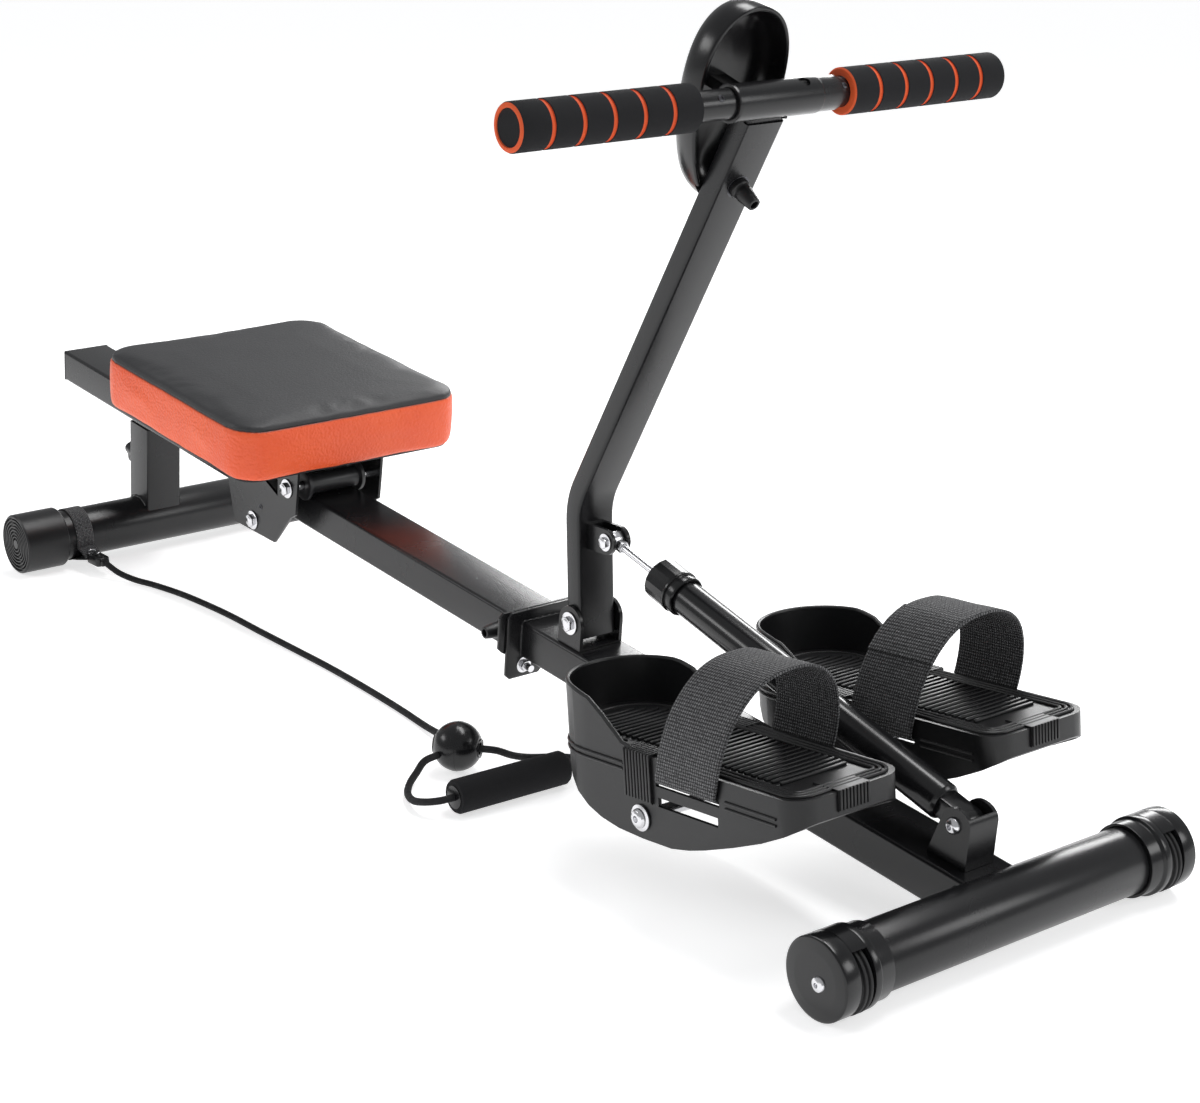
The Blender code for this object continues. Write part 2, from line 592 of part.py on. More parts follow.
# bracket on the rail: a base and two ears that hold the arm's pivot bolt
pivot_station, pivot_height = on_rail(*ARM_PIVOT)
EAR_INSIDE = ARM_WIDTH / 2 + 0.0008
EAR_OUTSIDE = EAR_INSIDE + EAR_THICKNESS
BASE = (GAP, 0.0022)
ear = [(-EAR_RADIUS, BASE[0]), (EAR_RADIUS, BASE[0])]
ear += [(EAR_RADIUS * math.cos(math.pi * step / 10),
         pivot_height + EAR_RADIUS * math.sin(math.pi * step / 10))
        for step in range(11)]
ear = [(pivot_station + s, h) for s, h in ear]
bracket = piece("arm_bracket", prism(ear, -EAR_OUTSIDE, EAR_OUTSIDE), BLACK_PAINT, rail)
cut(bracket, box((pivot_station - 0.03, -EAR_INSIDE, BASE[1]), (pivot_station + 0.03, EAR_INSIDE, 0.05)))
cut(bracket, drum((pivot_station, -0.04, pivot_height), (pivot_station, 0.04, pivot_height),
                  BOLT_RADIUS + GAP, sides=FEW_SIDES))
piece("arm_pivot_bolt", hex_bolt((0, -EAR_OUTSIDE - GAP, 0), (0, EAR_OUTSIDE + GAP, 0), BOLT_RADIUS,
                                 BOLT_HEAD_RADIUS, BOLT_HEAD), CHROME, place=at(*ARM_PIVOT))

# bracket on the arm's front face that holds the damper's rod
rod_pivot = pivot("rod_pivot", from_pivot(*DAMPER_TOP), parent=arm_pivot)
TOP_EAR_RADIUS = 0.0105
TOP_EAR_INSIDE = ROD_END_WIDTH / 2 + 0.0008
TOP_EAR_OUTSIDE = TOP_EAR_INSIDE + EAR_THICKNESS
TOP_BOLT_RADIUS = 0.003
top_local = from_pivot(*DAMPER_TOP)
face_front = Vector((stem_line.z, 0, -stem_line.x))
face_reach = top_local.dot(face_front) - ARM_DEPTH / 2 - GAP
turn_arm = math.atan2(stem_line.x, stem_line.z)
ear = [(-face_reach, TOP_EAR_RADIUS), (-face_reach, -TOP_EAR_RADIUS)]
ear += [(TOP_EAR_RADIUS * math.sin(math.pi * step / 10), -TOP_EAR_RADIUS * math.cos(math.pi * step / 10))
        for step in range(11)]
top_bracket = piece("damper_top_bracket", prism(ear, -TOP_EAR_OUTSIDE, TOP_EAR_OUTSIDE), BLACK_PAINT,
                    arm_pivot, top_local, (0, turn_arm, 0))
cut(top_bracket, box((-face_reach + 0.003, -TOP_EAR_INSIDE, -0.03), (0.03, TOP_EAR_INSIDE, 0.03)))
cut(top_bracket, drum((0, -0.02, 0), (0, 0.02, 0), TOP_BOLT_RADIUS + GAP, sides=FEW_SIDES))
piece("damper_top_bolt", hex_bolt((0, -TOP_EAR_OUTSIDE - GAP, 0), (0, TOP_EAR_OUTSIDE + GAP, 0),
                                  TOP_BOLT_RADIUS, 0.006, 0.003), CHROME, rod_pivot)

# ---------------------------------------------------------------- damper
damper = Vector((DAMPER_FOOT[0] - DAMPER_TOP[0], 0, DAMPER_FOOT[1] - DAMPER_TOP[1]))
DAMPER_LENGTH = damper.length
# along the damper, its own +Z runs from the top pivot to the foot pivot
damper_turn = (0.0, math.atan2(damper.x, damper.z), 0.0)
rod = piece("damper_rod", drum((0, 0, 0.004), (0, 0, ROD_LENGTH), ROD_RADIUS, sides=FEW_SIDES), CHROME,
            rod_pivot, (0, 0, 0), damper_turn)
join(rod, drum((0, -ROD_END_WIDTH / 2, 0), (0, ROD_END_WIDTH / 2, 0), ROD_END_RADIUS, sides=FEW_SIDES))
join(rod, drum((0, 0, 0.0045), (0, 0, 0.017), 0.0052, sides=6))
cut(rod, drum((0, -0.02, 0), (0, 0.02, 0), TOP_BOLT_RADIUS + RUNNING, sides=FEW_SIDES))

BARREL_END = DAMPER_LENGTH - 0.022
BARREL_START = CYLINDER_START + 0.003
inside = CYLINDER_RADIUS - CYLINDER_WALL
profile = [(ROD_RADIUS + RUNNING, BARREL_START), (CYLINDER_RADIUS, BARREL_START),
           (CYLINDER_RADIUS, BARREL_END - 0.002), (CYLINDER_RADIUS - 0.002, BARREL_END), (0.0, BARREL_END),
           (0.0, BARREL_END - 0.008), (inside, BARREL_END - 0.008), (inside, BARREL_START + 0.012),
           (ROD_RADIUS + RUNNING, BARREL_START + 0.012)]
cylinder = piece("damper_cylinder", turned(profile), BLACK_PAINT, rod_pivot, (0, 0, 0), damper_turn)
join(cylinder, box((-DAMPER_EYE_RADIUS, -DAMPER_EYE_WIDTH / 2, BARREL_END - 0.003),
                   (DAMPER_EYE_RADIUS, DAMPER_EYE_WIDTH / 2, DAMPER_LENGTH)))
join(cylinder, drum((0, -DAMPER_EYE_WIDTH / 2, DAMPER_LENGTH), (0, DAMPER_EYE_WIDTH / 2, DAMPER_LENGTH),
                    DAMPER_EYE_RADIUS - 0.00001, sides=SIDES))

step_radius = DIAL_RADIUS - 0.0012
bore = CYLINDER_RADIUS + RUNNING
profile = [(ROD_RADIUS + 0.001, CYLINDER_START), (DIAL_RADIUS - 0.0025, CYLINDER_START),
           (DIAL_RADIUS, CYLINDER_START + 0.0025), (DIAL_RADIUS, CYLINDER_START + 0.024),
           (step_radius, CYLINDER_START + 0.025), (step_radius, CYLINDER_START + DIAL_LENGTH),
           (bore, CYLINDER_START + DIAL_LENGTH), (bore, BARREL_START - RUNNING),
           (ROD_RADIUS + 0.001, BARREL_START - RUNNING)]
piece("damper_dial", turned(profile, sides=24), BLACK_PLASTIC, rod_pivot, (0, 0, 0), damper_turn)

# clevis welded on the front end of the rail
clevis_station, clevis_height = on_rail(*DAMPER_FOOT)
CLEVIS_EAR = 0.003
CLEVIS_FRONT = 0.0155
clevis_outside = CLEVIS_INSIDE / 2 + CLEVIS_EAR
ear = [(-0.022, GAP), (CLEVIS_FRONT, GAP), (CLEVIS_FRONT, clevis_height + 0.004)]
ear += [(0.002 + CLEVIS_EAR_RADIUS * math.cos(math.pi * step / 10),
         clevis_height + 0.004 + (CLEVIS_EAR_RADIUS - 0.004) * math.sin(math.pi * step / 10))
        for step in range(1, 11)]
ear = [(clevis_station + s, h) for s, h in ear]
clevis = piece("damper_clevis", prism(ear, -clevis_outside, clevis_outside), BLACK_PAINT, rail)
cut(clevis, box((clevis_station - 0.04, -CLEVIS_INSIDE / 2, 0.0025),
                (clevis_station + CLEVIS_FRONT - CLEVIS_EAR, CLEVIS_INSIDE / 2, 0.08)))
cut(clevis, drum((clevis_station, -0.03, clevis_height), (clevis_station, 0.03, clevis_height),
                 0.003 + GAP, sides=FEW_SIDES))
cut(clevis, drum((foot_station, -0.06, foot_height), (foot_station, 0.06, foot_height),
                 FOOT_TUBE_RADIUS + GAP))
for word, side in (("right", -1), ("left", 1)):
    inner_y = CLEVIS_INSIDE / 2 + 0.0002
    outer_y = clevis_outside + GAP
    profile = [(0.0, inner_y), (0.003, inner_y), (0.003, outer_y), (0.0062, outer_y),
               (0.0058, outer_y + 0.0025), (0.0035, outer_y + 0.0040), (0.0, outer_y + 0.0043)]
    piece("damper_bolt_" + word, turned(profile, direction=(0, side, 0), sides=FEW_SIDES), CHROME,
          rail, (clevis_station, 0, clevis_height))

# rubber bumper on the rail that stops the damper hitting the rail
bumper_station = on_rail(-0.356, 0.07)[0]
profile = [(0.0, GAP), (0.013, GAP), (0.013, 0.012), (0.011, 0.016), (0.0, 0.0175)]
piece("rail_bumper", turned(profile, (bumper_station, 0, 0), sides=20), SOFT_BLACK, rail)

# ---------------------------------------------------------------- handlebar
handlebar = pivot("handlebar_slide", from_pivot(*BAR_AXIS), parent=arm_pivot)
STEM_WIDTH = ARM_WIDTH - 2 * ARM_WALL - 2 * GAP
STEM_DEPTH = ARM_DEPTH - 2 * ARM_WALL - 2 * GAP
front_of_arm = Vector((arm_line.z, 0, -arm_line.x))
tee = piece("handlebar_tee", drum((0, SLEEVE_ENDS[0], 0), (0, SLEEVE_ENDS[1], 0), SLEEVE_RADIUS),
            BLACK_PAINT, handlebar)
join(tee, box_tube([-arm_line * STEM_LENGTH, -arm_line * (BAR_RADIUS - 0.001)],
                   STEM_WIDTH, STEM_DEPTH, ARM_WALL))
cut(tee, drum((0, -0.2, 0), (0, 0.2, 0), BAR_RADIUS + GAP))

BAR_END = GRIP_ENDS[1] - GRIP_END_WALL - GAP
profile = [(BAR_RADIUS - 0.0015, -BAR_END), (BAR_RADIUS, -BAR_END), (BAR_RADIUS, BAR_END),
           (BAR_RADIUS - 0.0015, BAR_END)]
piece("handlebar_bar", turned(profile, direction=(0, 1, 0)), BLACK_PAINT, handlebar)
for word, side in (("right", -1), ("left", 1)):
    low, high = GRIP_ENDS
    profile = [(0.0, high - GRIP_END_WALL), (BAR_RADIUS + GAP, high - GRIP_END_WALL),
               (BAR_RADIUS + GAP, low), (GRIP_RADIUS, low), (GRIP_RADIUS, high), (0.0, high)]
    piece("grip_" + word, turned(profile, direction=(0, side, 0)), FOAM, handlebar)

pin_place = from_pivot(*BAR_AXIS) - arm_line * PIN_DOWN_ARM + front_of_arm * (ARM_DEPTH / 2)
cut(arm_tube, drum(pin_place - front_of_arm * 0.005, pin_place + front_of_arm * 0.01,
                   PULL_PIN_RADIUS + RUNNING, sides=FEW_SIDES))
pull_knob("handlebar_pin", ARM_WALL, arm_pivot, pin_place,
          (0, math.atan2(front_of_arm.x, front_of_arm.z), 0))

# ---------------------------------------------------------------- monitor
monitor = pivot("monitor_mount", (0, 0, 0), (0, MONITOR_TILT, 0), handlebar)


def egg(shrink, x, count=24):
    """An egg outline, narrower at the bottom, at one depth of the monitor."""
    middle = (MONITOR_HIGH + MONITOR_LOW) / 2
    reach = (MONITOR_HIGH - MONITOR_LOW) / 2 - shrink
    points = []
    for step in range(count):
        angle = math.tau * step / count
        height = math.cos(angle)
        width = 0.98 * (MONITOR_HALF_WIDTH - shrink) * (1 + 0.20 * height)
        fuller = 1.10 - 0.10 * math.sin(angle) ** 2
        points.append((x, width * math.sin(angle) * fuller, middle + reach * height))
    return points


def egg_shell():
    """The monitor's moulded shell, open towards the handlebar."""
    back = MONITOR_RIM_X - MONITOR_DEPTH
    steps = ((0.0, 0.0), (0.0, 0.35), (0.001, 0.62), (0.0035, 0.84), (0.0075, 0.96), (0.013, 1.0))
    shape = bmesh.new()
    skins = []
    for wall in (0.0, MONITOR_WALL):
        rings = []
        for shrink, depth in steps:
            x = MONITOR_RIM_X - depth * (MONITOR_DEPTH - wall)
            rings.append([shape.verts.new(point) for point in egg(shrink + wall, x)])
        skins.append(rings)
    for rings in skins:
        for first, second in zip(rings, rings[1:]):
            for i in range(len(first)):
                shape.faces.new((first[i - 1], first[i], second[i], second[i - 1]))
        shape.faces.new(rings[-1])
    for i in range(len(skins[0][0])):
        shape.faces.new((skins[0][0][i - 1], skins[0][0][i], skins[1][0][i], skins[1][0][i - 1]))
    return shape, back


shell, MONITOR_BACK = egg_shell()
housing = piece("monitor_housing", shell, BLACK_PLASTIC, monitor)
unturn = Matrix.Rotation(-MONITOR_TILT, 3, "Y")
behind_arm = -front_of_arm * (ARM_DEPTH / 2 + 0.003)
notch = [unturn @ (arm_line * along + behind_arm + front_of_arm * across)
         for along, across in ((-0.14, 0.0), (-0.02, 0.0), (-0.02, 0.08), (-0.14, 0.08))]
cut(housing, prism([(point.x, point.z) for point in notch], -ARM_WIDTH / 2 - 0.002, ARM_WIDTH / 2 + 0.002))
join(housing, box((MONITOR_BACK + 0.001, -0.012, 0.0), (-SLEEVE_RADIUS - GAP, 0.012, 0.010)))

SCREEN_SIZE = (0.038, 0.028)
SCREEN_HEIGHT = 0.010
BUTTON_RADIUS = 0.0065
BUTTON_HEIGHT = -0.024
BUTTON_STANDS = 0.003
outline = rounded(SCREEN_SIZE[0], SCREEN_SIZE[1], 0.005, (0.0, SCREEN_HEIGHT), 3)
piece("monitor_screen", prism(outline, MONITOR_BACK - GAP - 0.0015, MONITOR_BACK - GAP, "X"), SCREEN,
      monitor)
cut(housing, drum((MONITOR_BACK - 0.01, 0, BUTTON_HEIGHT), (MONITOR_BACK + 0.012, 0, BUTTON_HEIGHT),
                  BUTTON_RADIUS + RUNNING, sides=FEW_SIDES))
profile = [(0.0, -0.004), (BUTTON_RADIUS, -0.004), (BUTTON_RADIUS, BUTTON_STANDS - 0.001),
           (BUTTON_RADIUS - 0.001, BUTTON_STANDS), (0.0, BUTTON_STANDS)]
piece("monitor_button", turned(profile, sides=FEW_SIDES), NYLON, monitor, (MONITOR_BACK, 0, BUTTON_HEIGHT),
      (0, -math.pi / 2, 0))

# ---------------------------------------------------------------- pedals
AXLE_END = PEDAL_Y + PEDAL_HALF_WIDTH + 0.0006
piece("pedal_axle", drum((0, -AXLE_END, 0), (0, AXLE_END, 0), PEDAL_AXLE_RADIUS, sides=FEW_SIDES), CHROME,
      place=at(*PEDAL_AXLE))
HEEL_CENTRE = PEDAL_HALF_WIDTH - 0.1165
SLOT = (0.018, 0.087)
SLOT_LOW, SLOT_HIGH = 0.0275, 0.0320
WINDOW = (0.020, 0.085)
PAD_PROUD = 0.0016
SIDE_PAD = (-0.016, 0.014)


def pedal_plan(inset):
    """The pedal's outline from above: a round heel and a toe with round corners."""
    half = PEDAL_HALF_WIDTH - inset
    points = [(HEEL_CENTRE - half * math.sin(math.pi * step / 14), half * math.cos(math.pi * step / 14))
              for step in range(15)]
    corner = PEDAL_TOE_RADIUS - inset
    for side in (-1, 1):
        for step in range(6):
            angle = math.pi / 2 * step / 5 - (math.pi / 2 if side < 0 else 0)
            points.append((PEDAL_TOE - PEDAL_TOE_RADIUS + corner * math.cos(angle),
                           side * (half - corner) + corner * math.sin(angle)))
    return points


PEDAL_SIDE = [(-0.118, 0.037), (-0.098, 0.019), (-0.078, 0.003), (-0.062, -0.006), (-0.048, -0.0112),
              (-0.028, -0.0148), (0.0, -0.0162), (0.032, -0.0160), (0.052, -0.0125), (0.070, -0.0078),
              (0.100, 0.0015), (0.130, 0.0120), (0.152, 0.0215), (0.162, 0.0270), (0.170, 0.0330),
              (0.170, PEDAL_DECK), (-0.006, PEDAL_DECK), (-0.020, 0.0515), (-0.044, 0.0690),
              (-0.058, 0.0775), (-0.076, 0.0815), (-0.118, PEDAL_RIM)]


def pedal(name, side):
    """A moulded foot pedal: a deck with a skirt under it and a heel cup behind."""
    made = piece(name, prism(pedal_plan(0.0), -0.03, 0.10, "Z"), BLACK_PLASTIC,
                 place=at(PEDAL_AXLE[0], PEDAL_AXLE[1], side * PEDAL_Y), turn=(0, -PEDAL_PITCH, 0))
    trim(made, prism(PEDAL_SIDE, -0.08, 0.08))
    cut(made, prism(pedal_plan(PEDAL_WALL), -0.04, PEDAL_DECK - PEDAL_DECK_THICKNESS, "Z"))
    cut(made, prism(pedal_plan(PEDAL_WALL), PEDAL_DECK, 0.12, "Z"))
    half = PEDAL_HALF_WIDTH
    for sign in (-1, 1):
        wall = sorted((sign * (half - 0.001), sign * (half + PAD_PROUD)))
        join(made, box((SIDE_PAD[0], wall[0], 0.013), (SIDE_PAD[1], wall[1], PEDAL_DECK + PAD_PROUD)))
        top = sorted((sign * (half - 0.016), sign * (half - 0.0005)))
        join(made, box((SIDE_PAD[0], top[0], PEDAL_DECK - 0.001),
                       (SIDE_PAD[1], top[1], PEDAL_DECK + PAD_PROUD)))
        boss = sorted((sign * (half - 0.0005), sign * (half - 0.009)))
        join(made, drum((0, boss[0], 0), (0, boss[1], 0), 0.010, sides=FEW_SIDES))
    join(made, box((PEDAL_TOE - 0.001, -0.0145, 0.034),
                   (PEDAL_TOE + PAD_PROUD, 0.0145, PEDAL_DECK + PAD_PROUD)))
    join(made, box((PEDAL_TOE - 0.024, -0.0145, PEDAL_DECK - 0.001),
                   (PEDAL_TOE - 0.0005, 0.0145, PEDAL_DECK + PAD_PROUD)))
    cut(made, box((SLOT[0], -0.08, SLOT_LOW), (SLOT[1], 0.08, SLOT_HIGH)))
    cut(made, box((WINDOW[0], -0.08, 0.0125), (WINDOW[1], 0.08, 0.0195)))
    cut(made, drum((0, -0.08, 0), (0, 0.08, 0), PEDAL_AXLE_RADIUS + RUNNING, sides=FEW_SIDES))


def strap_path():
    """The strap's middle line across the pedal: out of one slot, over the foot, into the other."""
    out = PEDAL_HALF_WIDTH + STRAP_THICKNESS / 2 + 0.0012
    middle = (SLOT_LOW + SLOT_HIGH) / 2
    half_arch = []
    for step in range(13):
        angle = math.pi / 2 * step / 12
        half_arch.append(((out + 0.001) * math.cos(angle) ** 0.82,
                          PEDAL_DECK + 0.004 + (STRAP_RISE - 0.005) * math.sin(angle) ** 0.92))
    leg = [(out - 0.011, middle), (out - 0.0045, middle), (out - 0.0012, middle + 0.0016),
           (out, middle + 0.005)]
    right = leg + half_arch
    return [(-v, w) for v, w in right] + [(v, w) for v, w in reversed(right[:-1])]


def strap(name, side):
    """A flat webbing strap that leans forward over the foot."""
    path = [Vector((v, w)) for v, w in strap_path()]
    lean = 0.32
    shape = bmesh.new()
    rings = []
    for index, point in enumerate(path):
        along = (path[min(index + 1, len(path) - 1)] - path[max(index - 1, 0)]).normalized()
        out = Vector((-along.y, along.x)) * STRAP_THICKNESS / 2
        rear = SLOT[0] + 0.002 + lean * max(0.0, point.y - SLOT_HIGH)
        ring = []
        for sign, u in ((1, rear), (1, rear + STRAP_WIDTH), (-1, rear + STRAP_WIDTH), (-1, rear)):
            spot = point + out * sign
            ring.append(shape.verts.new((u, spot.x, spot.y)))
        rings.append(ring)
    for first, second in zip(rings, rings[1:]):
        for i in range(4):
            shape.faces.new((first[i - 1], first[i], second[i], second[i - 1]))
    shape.faces.new(rings[0])
    shape.faces.new(rings[-1])
    piece(name, shape, WEBBING, place=at(PEDAL_AXLE[0], PEDAL_AXLE[1], side * PEDAL_Y),
          turn=(0, -PEDAL_PITCH, 0))


for word, side in (("right", -1), ("left", 1)):
    pedal("pedal_" + word, side)
    strap("pedal_strap_" + word, side)
    profile = [(0.0, AXLE_END + GAP), (0.0095, AXLE_END + GAP), (0.0095, AXLE_END + 0.0015),
               (0.0070, AXLE_END + 0.0020), (0.0060, AXLE_END + 0.0052), (0.0, AXLE_END + 0.0056)]
    piece("pedal_bolt_" + word, turned(profile, direction=(0, side, 0), sides=FEW_SIDES), CHROME,
          place=at(*PEDAL_AXLE))

# ---------------------------------------------------------------- seat and carriage
seat_slide = pivot("seat_slide", (SEAT_STATION, 0, 0), parent=rail)
BOARD_TOP = SEAT_TOP - SEAT_THICKNESS - GAP
BOARD_LOW = BOARD_TOP - BOARD_THICKNESS
CARRIAGE_TOP = BOARD_LOW - GAP
outline = rounded(SEAT_LENGTH, SEAT_WIDTH, SEAT_CORNER)
cushion = piece("seat_cushion", prism(outline, BOARD_TOP + GAP, SEAT_TOP, "Z"), ORANGE_VINYL, seat_slide)
outline = rounded(SEAT_LENGTH - 2 * BOARD_INSET, SEAT_WIDTH - 2 * BOARD_INSET, SEAT_CORNER - BOARD_INSET)
piece("seat_board", prism(outline, BOARD_LOW, BOARD_TOP, "Z"), SOFT_BLACK, seat_slide)

UPPER_AXLE_HEIGHT = ROLLER_RADIUS + GAP
LOWER_AXLE_HEIGHT = -RAIL_HEIGHT - ROLLER_RADIUS - GAP
plate_side = [(-0.0025, -0.054), (0.0695, -0.0510), (0.0750, -0.0445), (0.0965, -0.0175), (0.1050, -0.0120),
              (0.1070, 0.010), (0.1085, CARRIAGE_TOP), (-0.0295, CARRIAGE_TOP), (-0.0125, -0.022)]
carriage = piece("carriage", prism(plate_side, -CARRIAGE_OUTSIDE / 2, CARRIAGE_OUTSIDE / 2), BLACK_PAINT,
                 seat_slide)
within = CARRIAGE_OUTSIDE / 2 - CARRIAGE_WALL
cut(carriage, box((-0.2, -within, -0.1), (0.2, within, CARRIAGE_TOP - CARRIAGE_WALL)))
window = [(0.0525, 0.0045), (0.0740, -0.003), (0.0740, 0.013), (0.0525, 0.013)]
cut(carriage, prism(window, -0.08, 0.08))


def roller(name, station, height):
    """A flanged roller on an axle across the carriage."""
    core = RAIL_WIDTH / 2 + 0.0006
    brim = core + 0.004
    bore = AXLE_RADIUS + RUNNING
    big = ROLLER_RADIUS + ROLLER_FLANGE
    profile = [(bore, -brim), (big, -brim), (big, -core), (ROLLER_RADIUS, -core), (ROLLER_RADIUS, core),
               (big, core), (big, brim), (bore, brim)]
    piece(name, turned(profile, direction=(0, 1, 0), sides=24), NYLON, seat_slide,
          (station, 0, height))


def axle(name, station, height):
    """A bolt through both side plates."""
    out = CARRIAGE_OUTSIDE / 2 + GAP
    piece(name, hex_bolt((0, -out, 0), (0, out, 0), AXLE_RADIUS, 0.0068, 0.0045), CHROME, seat_slide,
          (station, 0, height))
    cut(carriage, drum((station, -0.08, height), (station, 0.08, height), AXLE_RADIUS + GAP,
                       sides=FEW_SIDES))


for word, station in UPPER_AXLES.items():
    roller("upper_roller_" + word, station, UPPER_AXLE_HEIGHT)
    axle("upper_axle_" + word, station, UPPER_AXLE_HEIGHT)
roller("lower_roller", LOWER_AXLE, LOWER_AXLE_HEIGHT)
axle("lower_axle", LOWER_AXLE, LOWER_AXLE_HEIGHT)

# ---------------------------------------------------------------- pull rope
ANCHOR_Y = -0.094
ANCHOR_WIDTH = 0.019



def on_floor(x, y, z):
    """World place of a point given behind or ahead of the rear foot and above the floor."""
    return Vector((REAR_FOOT_CENTRE[0] + x, y, z))


BUCKLE = on_floor(0.0515, -0.0800, 0.0145)


def anchor_outline():
    """A webbing loop round the foot tube that runs out to the buckle, seen along the tube."""
    loop = FOOT_TUBE_RADIUS + GAP
    thick = 0.0014
    tail = math.radians(-38)
    outside = []
    inside = []
    for step in range(25):
        angle = tail + math.radians(8) + (math.tau - math.radians(16)) * step / 24
        outside.append(((loop + thick) * math.cos(angle), (loop + thick) * math.sin(angle)))
        inside.append((loop * math.cos(angle), loop * math.sin(angle)))
    reach = BUCKLE.x - 0.010 - REAR_FOOT_CENTRE[0]
    drop = BUCKLE.z - REAR_FOOT_CENTRE[2]
    return outside, inside, (reach, drop)


outside, inside, tip = anchor_outline()
band = [(x, z) for x, z in outside]
band += [(tip[0], tip[1] - 0.0014), (tip[0], tip[1] + 0.0014)]
strap_anchor = piece("rope_anchor", prism(band, ANCHOR_Y - ANCHOR_WIDTH / 2, ANCHOR_Y + ANCHOR_WIDTH / 2),
                     WEBBING, place=REAR_FOOT_CENTRE)
cut(strap_anchor, drum((0, -0.3, 0), (0, 0.3, 0), FOOT_TUBE_RADIUS + GAP))
join(strap_anchor, box((tip[0] - 0.002, ANCHOR_Y - 0.0075, tip[1] - 0.0045),
                       (tip[0] + 0.022, ANCHOR_Y + 0.0075, tip[1] + 0.0045)))
EXIT = Vector(REAR_FOOT_CENTRE) + Vector((tip[0] + 0.022 + ROPE_END_GAP, ANCHOR_Y, tip[1]))

BEAD = on_floor(0.702, -0.109, 0.0212)
HANDLE_FAR = on_floor(0.7775, -0.0590, 0.0145)
HANDLE_NEAR = on_floor(0.7744, -0.1630, 0.0145)


def smooth_route(points, spacing):
    """Points spaced along a smooth curve through the route's own points."""
    points = [Vector(point) for point in points]
    ends = [points[0] * 2 - points[1]] + points + [points[-1] * 2 - points[-2]]
    fine = []
    for before, first, second, after in zip(ends, ends[1:], ends[2:], ends[3:]):
        for step in range(24):
            t = step / 24
            fine.append(0.5 * (2 * first + (second - before) * t
                               + (2 * before - 5 * first + 4 * second - after) * t * t
                               + (3 * first - before - 3 * second + after) * t ** 3))
    fine.append(points[-1])
    total = sum((b - a).length for a, b in zip(fine, fine[1:]))
    count = max(2, round(total / spacing))
    chosen = [fine[0]]
    travelled = 0.0
    for a, b in zip(fine, fine[1:]):
        travelled += (b - a).length
        if travelled >= len(chosen) * total / count - 1e-9 and len(chosen) < count:
            chosen.append(b)
    chosen.append(fine[-1])
    return chosen


def rope(name, route, spacing):
    """A round tube along a route on the floor, with filled ends."""
    curve = bpy.data.curves.new(name, "CURVE")
    curve.dimensions = "3D"
    curve.bevel_depth = ROPE_RADIUS
    curve.bevel_resolution = 2
    curve.use_fill_caps = True
    chosen = smooth_route(route, spacing)
    spline = curve.splines.new("POLY")
    spline.points.add(len(chosen) - 1)
    for point, spot in zip(spline.points, chosen):
        point.co = (*spot, 1.0)
    curve.materials.append(WEBBING)
    made = bpy.data.objects.new(name, curve)
    bpy.context.collection.objects.link(made)


# routes are given from the rear foot: along, across, height
MAIN_ROUTE = [(0.070, -0.0940, 0.0143), (0.087, -0.0900, 0.0085), (0.105, -0.0815, 0.0040),
              (0.131, -0.0735, 0.0034), (0.179, -0.0655, 0.0032), (0.249, -0.0620, 0.0032),
              (0.313, -0.0632, 0.0032), (0.379, -0.0640, 0.0032), (0.438, -0.0650, 0.0032),
              (0.504, -0.0685, 0.0032), (0.565, -0.0735, 0.0032), (0.609, -0.0790, 0.0036),
              (0.639, -0.0845, 0.0066), (0.661, -0.0920, 0.0140)]
FAR_ROUTE = [(0.7270, -0.0880, 0.0200), (0.7290, -0.0740, 0.0130), (0.7300, -0.0580, 0.0075),
             (0.7370, -0.0420, 0.0060), (0.7520, -0.0340, 0.0085), (0.7670, -0.0370, 0.0122),
             (0.7755, -0.0465, 0.0142)]
NEAR_ROUTE = [(0.7025, -0.1420, 0.0165), (0.7050, -0.1520, 0.0095), (0.7130, -0.1640, 0.0060),
              (0.7280, -0.1760, 0.0055), (0.7460, -0.1830, 0.0075), (0.7620, -0.1830, 0.0115),
              (0.7720, -0.1760, 0.0140)]


def route(points, start, end):
    """A route's points in the model's frame between its two ends."""
    return [start] + [on_floor(*point) for point in points] + [end]


def bead_face(toward):
    """Where a rope leaves the bead on its way to a route point."""
    return BEAD + (on_floor(*toward) - BEAD).normalized() * (BEAD_RADIUS + ROPE_END_GAP)


handle_line = (HANDLE_FAR - HANDLE_NEAR).normalized()
rope("rope_main", route(MAIN_ROUTE, EXIT, bead_face(MAIN_ROUTE[-1])), 0.0180)
rope("rope_branch_far", route(FAR_ROUTE, bead_face(FAR_ROUTE[0]), HANDLE_FAR + handle_line * ROPE_END_GAP),
     0.0100)
rope("rope_branch_near", route(NEAR_ROUTE, bead_face(NEAR_ROUTE[0]),
                               HANDLE_NEAR - handle_line * ROPE_END_GAP), 0.0100)

bead_profile = [(0.0, -BEAD_RADIUS)]
bead_profile += [(BEAD_RADIUS * math.sin(math.pi * step / 12), -BEAD_RADIUS * math.cos(math.pi * step / 12))
                 for step in range(1, 12)]
bead_profile += [(0.0, BEAD_RADIUS)]
piece("rope_bead", turned(bead_profile, direction=bead_face(FAR_ROUTE[0]) - BEAD, sides=20), BLACK_PLASTIC,
      place=BEAD)
half = (HANDLE_FAR - HANDLE_NEAR).length / 2
profile = [(0.0, -half), (0.0115, -half), (HANDLE_RADIUS, -half + 0.003), (HANDLE_RADIUS, half - 0.003),
           (0.0115, half), (0.0, half)]
piece("rope_handle", turned(profile, direction=handle_line), FOAM, place=(HANDLE_FAR + HANDLE_NEAR) / 2)
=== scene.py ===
import math

import bmesh
import bpy
from mathutils import Matrix, Vector, noise


